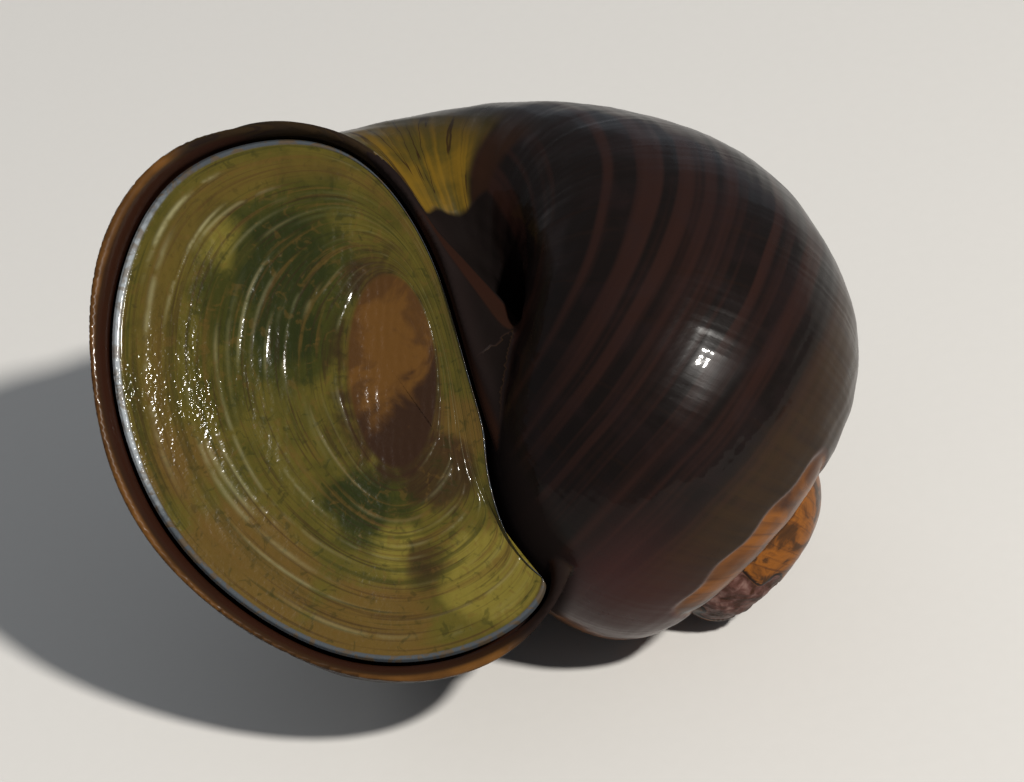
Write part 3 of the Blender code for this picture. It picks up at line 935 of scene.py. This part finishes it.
        # Painted sky reflection on the rim, brighter on the side that faces the light and broken by tan horn.
        brighter_sheen_side = g.step(north + grain * 6.0, -5.0, -13.0) * g.step(east + grain * 6.0, 14.0, 24.0)
        painted_rim_sheen = g.blend(brighter_sheen_side, self.painted_sky_sheen, self.painted_bright_sheen)
        painted_rim_sheen = g.blend(g.step(blotch, 0.46, 0.62) * 0.55, painted_rim_sheen, self.tan)
        base = g.blend(g.step(ring, 0.974, 0.981), base, painted_rim_sheen)
        base = g.blend(back, base, self.brown)
        sparkle = g.noise(g.place(), 3200.0, 1.0)
        grainy = self.cover(g, self.grainy_spots)
        height = hair * 0.10 + grain * 0.25 + lines * 0.15 + sparkle * (grainy * 1.9 + 0.26)
        rough = g.step(grain, 0.3, 0.7) * 0.06 + 0.12 - grainy * 0.04
        return g.surface(
            Base_Color=base, Roughness=rough, Normal=g.bump(height, 0.6, 0.00010), Specular_IOR_Level=0.18,
            Coat_Weight=0.34, Coat_Roughness=0.035, Coat_IOR=1.33,
        )


@dataclass(frozen=True)
class WetFlesh:
    """The foot's finish: dark, wet, mottled skin."""

    dark: tuple = (0.010, 0.005, 0.0035)
    light: tuple = (0.050, 0.026, 0.014)

    def material(self) -> bpy.types.Material:
        """Builds the material from the position on the piece."""
        g = Graph("wet_flesh")
        place = g.place()
        spots = g.step(g.noise(place, 1500.0, 3.0, 0.5), 0.42, 0.66)
        folds = g.noise(place, 700.0, 3.0)
        return g.surface(
            Base_Color=g.blend(spots, self.dark, self.light), Roughness=folds * 0.2 + 0.12,
            Normal=g.bump(folds, 0.6, 0.0003), Coat_Weight=0.4, Coat_Roughness=0.1,
        )


@dataclass(frozen=True)
class PaleFloor:
    """A plain pale studio floor."""

    colour: tuple = (0.50, 0.488, 0.468)

    def material(self) -> bpy.types.Material:
        """Builds the material with a very faint grain."""
        g = Graph("pale_floor")
        grain = g.noise(g.place(), 900.0, 2.0)
        paper = g.blend(grain, self.colour, tuple(c * 1.03 for c in self.colour))
        return g.surface(Base_Color=paper, Roughness=grain * 0.05 + 0.6)


class ShellPart(Enum):
    """The pieces of the shell: name, slot and the solids that each stands for."""

    BODY = ("shell_body", "dark_shell", ("body_whorl",))
    LIP = ("shell_lip", "lip_shell", ("outer_lip", "inner_lip"))
    SPIRE = ("shell_spire", "spire_shell", ("penultimate_whorl", "spire_whorl"))
    APEX = ("shell_apex", "worn_shell", ("apex",))


@dataclass
class Shell:
    """The whole shell, skinned in one go and then parted where its finish changes."""

    pose: SnailFrame = field(default_factory=SnailFrame)
    shape: ShellField = field(default_factory=ShellField)
    skinner: Skinner = field(default_factory=Skinner)
    low_corner: tuple = (-33.0, -41.0, -64.0)
    high_corner: tuple = (36.0, 36.0, -1.0)
    lip_depth: float = 4.15
    lip_start: float = -112.0
    spire_turn: float = -331.2
    capped_turn: float = 76.0
    growth_relief: float = 0.017
    malleation: float = 0.055
    eroded_radius: float = 4.4
    eroded_spot: tuple = (1.7, -5.0)
    eroded_spot_radius: float = 2.7
    eroded_spot_stretch: float = 1.35
    shelf_girth: float = -51.0
    shelf_turns: tuple = (-219.0, -236.0)
    shelf_last_turns: tuple = (-305.0, -284.0)
    shelf_wear: float = 0.45
    shelf_width: float = 7.0
    pit_depth: float = 0.12
    suture_girth: float = -89.0

    def lip_turns(self) -> tuple:
        """For each degree round the tube, the turn at which it reaches the plane of the mouth."""
        girths = np.arange(self.suture_girth - 4.0, 228.0, 1.0)
        turns = np.arange(-60.0, self.capped_turn, 0.5)
        grid = self.shape.spiral.point(turns[None], girths[:, None])
        depth = self.shape.mouth.locate(grid)[1]
        crossed = (depth[:, :-1] > 0.0) & (depth[:, 1:] <= 0.0)
        found = np.where(crossed.any(axis=1), turns[crossed.argmax(axis=1)], self.capped_turn)
        return girths, found

    def marks(self, points: Array) -> dict:
        """Numbers for the finishes at points on the shell.

        Args:
            points: points in the shell's frame.

        Returns:
            One array for each mark.
        """
        shape = self.shape
        swing = shape.swing(points)
        flat, depth = shape.mouth.locate(points)
        readings = [shape.girth(points, swing + TURN * index) for index in (0, *shape.early_turns)]
        solid = np.stack(shape.turns(points))
        own = np.argmin(solid, axis=0)
        order = np.sort(solid, axis=0)
        turn = swing - TURN * own
        girth = np.choose(own, [reading[0] for reading in readings])
        girth = np.where(girth > 228.0, girth - TURN, girth)
        known_girths, known_turns = self.lip_turns()
        growth = np.interp(girth, known_girths, known_turns) - turn
        out, room, sleeve = shape.walls.read(flat)
        outer = smooth_step(sleeve, 0.5, -0.6)
        tube = np.choose(own, [reading[1] for reading in readings])
        in_mouth = (own == 0) & (depth < 7.0) & (depth > -1.0)
        hollow = in_mouth * smooth_step(-tube, 0.25, 0.75) * smooth_step(depth, 0.1, 0.6)
        rim = np.where(in_mouth & (swing > -100.0), depth + 0.0, 20.0)
        collar = (1.0 - outer) * (np.abs(depth) < 8.0) * smooth_step(out, 2.4, 0.9)
        above = shape.wear.above(points)
        ragged = Ripples(15, 12, (0.05, 0.05), (0.35, 0.35)).at(points[..., 0], points[..., 1])
        tip = np.hypot(points[..., 0], points[..., 1]) + ragged * 0.8 - self.eroded_radius
        aside = (points[..., 0] - self.eroded_spot[0]) / self.eroded_spot_stretch
        spot = np.hypot(aside, points[..., 1] - self.eroded_spot[1]) + ragged * 0.9 - self.eroded_spot_radius
        eroded = smooth_step(np.minimum(tip, spot), 0.0, -0.5) * (points[..., 2] > -12.0)
        worn = np.maximum(smooth_step(above, -0.22, -0.03), eroded)
        line = self.shelf_girth + Ripples(18, 8, (0.004, 0.0), (0.05, 0.0)).at(growth, 0.0) * 1.6
        worn_turns = smooth_step(turn, *self.shelf_turns) * smooth_step(turn, *self.shelf_last_turns)
        shelf = np.where(turn > self.spire_turn, line - girth, 0.0) * worn_turns - 0.8 - 2.4 * (1.0 - worn_turns)
        seam = (order[1] - order[0]) * (1.0 - smooth_step(swing, -30.0, -10.0) * (own == 0))
        seam = seam + 5.0 * smooth_step(swing, -30.0, -10.0) * (own == 0)
        return {
            "turn": turn, "girth": girth, "growth": growth, "rim": rim, "outer": outer, "hollow": hollow,
            "collar": collar, "worn": worn, "seam": seam, "shelf": shelf,
        }

    def relief(self, marks: dict) -> Array:
        """Height of the growth lines and dents above the smooth surface, in millimetres."""
        lines = Ripples(11, 22, (0.14, 0.0), (0.62, 0.004))
        steps = Ripples(12, 10, (0.03, 0.0), (0.09, 0.003))
        dents = Ripples(13, 26, (0.012, 0.006), (0.07, 0.05))
        threads = Ripples(14, 12, (0.0, 0.06), (0.002, 0.22))
        growth, girth = marks["growth"], marks["girth"]
        size = self.shape.spiral.size(marks["turn"])
        height = lines.at(growth, girth) * self.growth_relief + steps.at(growth, girth) * self.growth_relief
        height = height + dents.at(growth, girth) * self.malleation + threads.at(growth, girth) * 0.018
        fading = np.exp(-np.maximum(marks["shelf"], 0.0) / self.shelf_width)
        height = height - self.shelf_wear * smooth_step(marks["shelf"], -0.8, 2.2) * fading
        calm = (1.0 - marks["hollow"]) * (1.0 - marks["worn"]) * smooth_step(marks["rim"], 0.0, 1.5)
        calm = calm * (1.0 - marks["collar"]) * smooth_step(marks["seam"], 0.0, 0.8)
        return height * np.minimum(size, 1.0) * calm

    def pits(self, points: Array, worn: Array) -> Array:
        """Depth of the pits of the eroded apex, in millimetres."""
        x, y, z = points.T
        broad = Ripples(16, 16, (0.1, 0.1), (0.45, 0.45)).at(x + z * 0.5, y - z * 0.5)
        fine = Ripples(17, 20, (0.5, 0.5), (1.5, 1.5)).at(x + z * 0.6, y + z * 0.4)
        return worn * self.pit_depth * (1.0 + broad * 0.8 + fine * 0.45)

    def parts(self, points: Array, faces: Array, marks: dict) -> dict:
        """Which faces belong to each piece of the shell."""
        middle = points[faces].mean(axis=1)
        depth = self.shape.mouth.locate(middle)[1]
        turn = marks["turn"][faces].max(axis=1)
        worn = marks["worn"][faces].mean(axis=1)
        apex = worn > 0.5
        spire = (turn < self.spire_turn) & ~apex
        lip = (turn > self.lip_start) & (depth < self.lip_depth) & ~apex
        return {
            ShellPart.APEX: apex, ShellPart.SPIRE: spire, ShellPart.LIP: lip,
            ShellPart.BODY: ~(apex | spire | lip),
        }

    def build(self, finish: WetShell) -> list:
        """Skins the shell, carves its relief and parts it.

        Args:
            finish: the shell's finish.

        Returns:
            The pieces.
        """
        points, faces = self.skinner.skin(self.shape, self.low_corner, self.high_corner)
        normals = corner_normals(points, faces)
        if np.mean(np.sum(normals * self.shape.slope(points), axis=1)) < 0.0:
            faces = faces[:, ::-1]
            normals = -normals
        marks = self.marks(points)
        height = self.relief(marks) - self.pits(points, marks["worn"])
        points = points + normals * height[:, None]
        placed = self.pose.place(points)
        placed[:, 2] = np.maximum(placed[:, 2], 0.0)
        normals = corner_normals(placed, faces)
        material = finish.material()
        pieces = []
        for part, chosen in self.parts(points, faces, marks).items():
            name, slot, nodes = part.value
            used, index = np.unique(faces[chosen], return_inverse=True)
            own = {key: numbers[used] for key, numbers in marks.items()}
            piece = mesh_piece(name, placed[used], index.reshape(-1, 4), own, normals[used])
            piece.data.materials.append(material)
            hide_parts(*nodes)
            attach(piece, BODY)
            LOG.info("%s: %d faces", name, int(chosen.sum()))
            pieces.append(piece)
        return pieces


@dataclass
class Operculum:
    """The horny lid: a dished plate with fine lines of growth round a long nucleus."""

    pose: SnailFrame = field(default_factory=SnailFrame)
    shape: ShellField = field(default_factory=ShellField)
    nucleus: tuple = (10.6, -5.6)
    half_length: float = 7.6
    half_width: float = 3.4
    lean: float = math.radians(50.0)
    nucleus_share: float = 0.3
    set_in: float = 1.5
    thickness: float = 1.1
    dish: float = 0.9
    bevel: float = 0.3
    spokes: int = 360
    rings: int = 250
    lines: int = 19
    whorl_clearance: float = 0.34
    easing_rounds: int = 16
    rounding: float = 50.0
    seed: int = 5

    def clearance(self, flat: Array) -> Array:
        """How far places on the plate stay clear of the turn of the shell beside them."""
        near = np.full(len(flat), self.shape.far)
        for depth in (self.set_in, self.set_in + self.thickness):
            points = self.shape.mouth.point(flat, np.full(len(flat), depth))
            near = np.minimum(near, self.shape.girth(points, self.shape.swing(points) - TURN)[1])
        return near

    def spoke_ends(self) -> Array:
        """Points of the edge, moved away wherever the turn of the shell beside it comes too near."""
        places = np.linspace(0.0, len(self.shape.mouth.outline), self.spokes, endpoint=False)
        flat = ClosedSpline(self.shape.mouth.outline).at(places)
        probe = 0.05
        for _ in range(self.easing_rounds):
            near = self.clearance(flat)
            slope = np.stack([self.clearance(flat + step) - near for step in np.eye(2) * probe], axis=-1) / probe
            short = np.maximum(self.whorl_clearance - near, 0.0)
            flat = flat + slope * (short / np.maximum(np.sum(slope**2, axis=-1), 0.1))[:, None]
            flat = (np.roll(flat, 1, axis=0) + 2.0 * flat + np.roll(flat, -1, axis=0)) / 4.0
        return flat

    def rounded(self, spokes: Array, ring: Array) -> Array:
        """The edge's points as seen from the nucleus, with its corners rounded more and more further in.

        Args:
            spokes: the edge's points.
            ring: share of the way from the nucleus to the edge, a row for each line of growth.

        Returns:
            The points for each row.
        """
        waves = np.fft.fft(spokes[:, 0] + 1j * spokes[:, 1])
        pitch = 2.0 * math.pi * np.fft.fftfreq(len(spokes))
        kept = np.exp(-0.5 * (pitch * self.rounding * (1.0 - ring[:, :1])) ** 2)
        curve = np.fft.ifft(waves * kept, axis=1)
        return np.stack([curve.real, curve.imag], axis=-1)

    def ridges(self, ring: Array, sweep_x: Array, sweep_y: Array) -> Array:
        """Raised lines of growth, from 0 between them to 1 on their crests.

        Args:
            ring: share of the way from the nucleus to the edge.
            sweep_x: cosine of the way round the edge.
            sweep_y: sine of the way round the edge.

        Returns:
            Heights of the lines.
        """
        rng = np.random.default_rng(self.seed)
        total = np.zeros_like(ring)
        wander = Ripples(self.seed, 10, (0.1, 0.1), (0.8, 0.8))
        fade = Ripples(self.seed + 1, 10, (0.1, 0.1), (0.9, 0.9))
        for index in range(self.lines):
            at = 0.33 + 0.62 * (index + rng.uniform(0.1, 0.9)) / self.lines
            strength = rng.uniform(0.25, 1.0)
            width = rng.uniform(0.0040, 0.0080)
            shift = wander.at(sweep_x + index * 0.4, sweep_y) * 0.008
            gap = smooth_step(fade.at(sweep_x + index * 1.7, sweep_y), -0.15, 0.60)
            total = np.maximum(total, strength * gap * np.exp(-((ring - at - shift) / width) ** 2))
        return total

    def build(self, finish: WetHorn) -> bpy.types.Object:
        """Builds the plate.

        Args:
            finish: the operculum's finish.

        Returns:
            The operculum.
        """
        middle = np.array(self.nucleus)
        spokes = self.spoke_ends() - middle
        lengths = np.linalg.norm(spokes, axis=1)
        angles = np.arctan2(spokes[:, 1], spokes[:, 0])
        lean = angles - self.lean
        oval = spokes / lengths[:, None] / np.hypot(
            np.cos(lean) / self.half_length, np.sin(lean) / self.half_width)[:, None]
        front = np.concatenate([np.linspace(0.004, 0.960, self.rings), np.linspace(0.963, 1.0, 15)])
        back = np.array((0.999, 0.9, 0.7, 0.45, 0.2, 0.004))
        ring = np.concatenate([front, back])[:, None] + np.zeros(self.spokes)
        sweep = np.linspace(0.0, 2.0 * math.pi, self.spokes, endpoint=False)[None] + 0.0 * ring
        sweep_x, sweep_y = np.cos(sweep), np.sin(sweep)
        share = np.clip((ring - self.nucleus_share) / (1.0 - self.nucleus_share), 0.0, 1.0)[..., None]
        inner = np.minimum(ring / self.nucleus_share, 1.0)[..., None]
        flat = middle + np.where(share > 0.0, oval * (1.0 - share) + self.rounded(spokes, ring) * share, oval * inner)
        is_back = np.concatenate([np.zeros(len(front)), np.ones(len(back))])[:, None] + 0.0 * ring
        east, north = flat[..., 0], flat[..., 1]
        ridge = self.ridges(ring, sweep_x, sweep_y) * (1.0 - is_back)
        reach = np.clip((lengths - np.linalg.norm(oval, axis=1)) / 14.0, 0.08, 1.0)[None]
        swell = Ripples(21, 16, (0.02, 0.02), (0.14, 0.14)).at(east, north) * 0.10
        steps = Ripples(22, 14, (3.0, 0.05), (9.0, 0.3)).at(ring, sweep_x + sweep_y * 1.3) * 0.05 * reach
        steps = steps * (0.4 + smooth_step(ring, 0.5, 0.85)) * smooth_step(ring, 0.28, 0.48)
        upturn = smooth_step(east, 20.0, 40.0) * 0.9
        grains = Ripples(23, 30, (0.5, 0.5), (1.3, 1.3)).at(east, north) * 0.011
        lip = smooth_step(ring, 0.972, 0.982) * 0.10
        heart = smooth_step(ring, 0.38, 0.25) * 0.05
        depth = self.set_in + self.dish * (1.0 - ring**2) + self.bevel * smooth_step(ring, 0.986, 1.0) ** 2
        rise = ridge * 0.05 * reach + swell * (1.0 - ring**6) + steps + grains + lip + heart + upturn
        depth = depth - rise * (1.0 - is_back) + self.thickness * is_back
        points = self.shape.mouth.point(flat.reshape(-1, 2), depth.reshape(-1))
        marks = {
            "ring": ring, "sweep_x": sweep_x, "sweep_y": sweep_y, "ridge": ridge,
            "east": east, "north": north, "back": is_back,
        }
        marks = {key: numbers.reshape(-1) for key, numbers in marks.items()}
        rows, columns = ring.shape
        index = np.arange(rows * columns).reshape(rows, columns)
        around = np.roll(index, -1, axis=1)
        faces = np.stack([index[:-1], around[:-1], around[1:], index[1:]], axis=-1).reshape(-1, 4)
        points, faces, marks = close_ends(points, faces, marks, (index[0], index[-1][::-1]))
        piece = mesh_piece("operculum_plate", self.pose.place(points), faces, marks)
        face_outwards(piece)
        piece.data.materials.append(finish.material())
        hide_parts("operculum")
        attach(piece, BODY)
        LOG.info("operculum: %d faces", len(piece.data.polygons))
        return piece


def close_ends(points: Array, faces: Array, marks: dict, loops: tuple) -> tuple:
    """Closes open loops of points with a fan round a new point in the middle of each.

    Args:
        points: points of the mesh.
        faces: its faces, four corners each.
        marks: numbers for each point.
        loops: the indices of the points along each open loop.

    Returns:
        Points, faces and marks with the fans added.
    """
    for loop in loops:
        hub = len(points)
        points = np.vstack([points, points[loop].mean(axis=0)])
        marks = {key: np.append(numbers, numbers[loop[0]]) for key, numbers in marks.items()}
        following = np.roll(loop, -1)
        hubs = np.full(len(loop), hub)
        faces = np.vstack([faces, np.stack([following, loop, hubs, hubs], axis=1)])
    return points, faces, marks


def face_outwards(piece: bpy.types.Object) -> None:
    """Turns every face of a closed piece outwards."""
    import bmesh
    bm = bmesh.new()
    bm.from_mesh(piece.data)
    bmesh.ops.recalc_face_normals(bm, faces=bm.faces)
    bm.to_mesh(piece.data)
    bm.free()


@dataclass
class Foot:
    """The front of the animal's foot, pressed against the back of the operculum."""

    pose: SnailFrame = field(default_factory=SnailFrame)
    shape: ShellField = field(default_factory=ShellField)
    spokes: int = 220
    near: float = 3.6
    far_depth: float = 5.4
    inset: float = 0.12
    whorl_clearance: float = 0.25

    def build(self, edge: Array, finish: WetFlesh) -> bpy.types.Object:
        """Builds the skin of the foot.

        Args:
            edge: points of the operculum's edge in the plane of the mouth.
            finish: the foot's finish.

        Returns:
            The foot.
        """
        hub = np.array(self.shape.mouth.hub)
        towards = np.array(self.shape.mouth.narrowing_towards)
        count = len(edge)
        shares = np.array((0.02, 0.3, 0.6, 0.8, 0.9, 0.96, 0.99, 1.0, 1.0, 0.99, 0.9, 0.6, 0.02))
        depths = np.array((4.0, 3.95, 3.7, 3.35, 3.15, 3.05, 3.1, 3.3, 4.6, 5.2, 5.4, 5.4, 5.4))
        flat = hub + (edge - hub)[None] * shares[:, None, None]
        scale = 1.0 - self.shape.mouth.narrowing * np.maximum(0.0, depths - self.shape.mouth.straight_depth)
        flat = towards + (flat - towards) * scale[:, None, None]
        depth = depths[:, None] + np.zeros(count)
        bumps = Ripples(31, 20, (0.1, 0.1), (0.5, 0.5)).at(flat[..., 0], flat[..., 1]) * 0.12
        depth = depth + bumps * (depths < 3.6)[:, None]
        points = self.shape.mouth.point(flat.reshape(-1, 2), depth.reshape(-1))
        index = np.arange(len(points)).reshape(len(shares), count)
        around = np.roll(index, -1, axis=1)
        faces = np.stack([index[:-1], around[:-1], around[1:], index[1:]], axis=-1).reshape(-1, 4)
        points, faces, _ = close_ends(points, faces, {}, (index[0], index[-1][::-1]))
        piece = mesh_piece("foot_skin", self.pose.place(points), faces, {})
        face_outwards(piece)
        piece.data.materials.append(finish.material())
        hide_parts("foot")
        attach(piece, BODY)
        LOG.info("foot: %d faces", len(piece.data.polygons))
        return piece


@dataclass(frozen=True)
class Lamp:
    """One area light, placed by the direction that it shines from as the camera sees it."""

    name: str
    towards: tuple
    distance: float
    size: float
    power: float
    colour: tuple = (1.0, 1.0, 1.0)


@dataclass
class Studio:
    """The floor, the camera and the lights."""

    pose: SnailFrame = field(default_factory=SnailFrame)
    roll: float = -2.397
    pitch: float = -0.219
    yaw: float = 0.091
    distance: float = 300.0
    focal_pixels: float = 3840.0
    sensor: float = 36.0
    offset: tuple = (31.56, -54.08)
    looked_at: tuple = (0.0, 0.0, -30.0)
    floor_half_side: float = 3.0
    world: tuple = (0.84, 0.91, 1.0)
    world_strength: float = 0.24
    lamps: tuple = (
        Lamp("sun_box", (0.38, 0.33, 0.86), 0.9, 0.06, 14.5, (1.0, 0.965, 0.91)),
        Lamp("sky_box", (0.25, 0.62, -0.74), 1.2, 0.9, 0.4, (0.70, 0.84, 1.0)),
        Lamp("fill_box", (-0.55, 0.50, -0.67), 1.1, 0.7, 4.5, (1.0, 0.98, 0.95)),
    )

    def view_rows(self) -> Array:
        """Right, up and towards the camera, in the shell's frame."""
        cz, sz = math.cos(self.roll), math.sin(self.roll)
        cx, sx = math.cos(self.pitch), math.sin(self.pitch)
        cy, sy = math.cos(self.yaw), math.sin(self.yaw)
        about_z = np.array(((cz, -sz, 0.0), (sz, cz, 0.0), (0.0, 0.0, 1.0)))
        about_x = np.array(((1.0, 0.0, 0.0), (0.0, cx, -sx), (0.0, sx, cx)))
        about_y = np.array(((cy, 0.0, sy), (0.0, 1.0, 0.0), (-sy, 0.0, cy)))
        swap = np.array(((1.0, 0.0, 0.0), (0.0, 0.0, 1.0), (0.0, -1.0, 0.0)))
        return about_z @ about_x @ about_y @ swap

    def add_camera(self) -> bpy.types.Object:
        """Puts the camera at the photograph's viewing angle."""
        rows = self.view_rows()
        middle = np.array(self.looked_at)
        eye = self.pose.place(middle + rows.T @ np.array((0.0, 0.0, self.distance)))
        axes = np.array([self.pose.direction(row) for row in rows])
        away = unit(np.array((self.offset[0], -self.offset[1], self.focal_pixels)))
        back = unit(axes.T @ away)
        right = unit(np.cross(axes[1], back))
        up = np.cross(back, right)
        data = bpy.data.cameras.new("camera")
        data.sensor_width = self.sensor
        data.lens = self.focal_pixels * self.sensor / IMAGE_WIDTH
        data.clip_start = 0.01
        camera = bpy.data.objects.new("camera", data)
        turn = Matrix((right, up, back)).transposed().to_4x4()
        camera.matrix_world = Matrix.Translation(Vector(eye)) @ turn
        bpy.context.scene.collection.objects.link(camera)
        bpy.context.scene.camera = camera
        return camera

    def add_lamps(self) -> None:
        """Hangs the area lights and sets the world's even light."""
        rows = self.view_rows()
        centre = self.pose.place(np.array(self.looked_at))
        for lamp in self.lamps:
            way = self.pose.direction(rows.T @ unit(np.array(lamp.towards)))
            LOG.info("%s shines from %s", lamp.name, np.round(way, 2).tolist())
            data = bpy.data.lights.new(lamp.name, "AREA")
            data.shape = "DISK"
            data.size = lamp.size
            data.energy = lamp.power
            data.color = lamp.colour
            light = bpy.data.objects.new(lamp.name, data)
            light.location = Vector(centre + way * lamp.distance)
            light.rotation_euler = Vector(way).to_track_quat("Z", "Y").to_euler()
            bpy.context.scene.collection.objects.link(light)
        world = bpy.data.worlds.new("studio")
        world.use_nodes = True
        backdrop = world.node_tree.nodes["Background"]
        backdrop.inputs["Color"].default_value = (*self.world, 1.0)
        backdrop.inputs["Strength"].default_value = self.world_strength
        bpy.context.scene.world = world
        bpy.context.scene.view_settings.view_transform = "Standard"

    def add_floor(self, finish: PaleFloor) -> bpy.types.Object:
        """Lays the floor."""
        side = self.floor_half_side
        corners = np.array(((-side, -side, 0.0), (side, -side, 0.0), (side, side, 0.0), (-side, side, 0.0)))
        floor = mesh_piece("floor", corners, np.array(((0, 1, 2, 3),)), {})
        floor.data.materials.append(finish.material())
        return floor


def main() -> None:
    """Builds and dresses the snail in its studio."""
    logging.basicConfig(level=logging.INFO, format="%(name)s %(message)s")
    shape = ShellField()
    shell = Shell(shape=shape)
    shell.build(WetShell())
    lid = Operculum(shape=shape)
    lid.build(WetHorn())
    Foot(shape=shape).build(lid.spoke_ends(), WetFlesh())
    studio = Studio()
    studio.add_floor(PaleFloor())
    studio.add_camera()
    studio.add_lamps()
    LOG.info("studio is set")


if __name__ == "__main__":
    main()
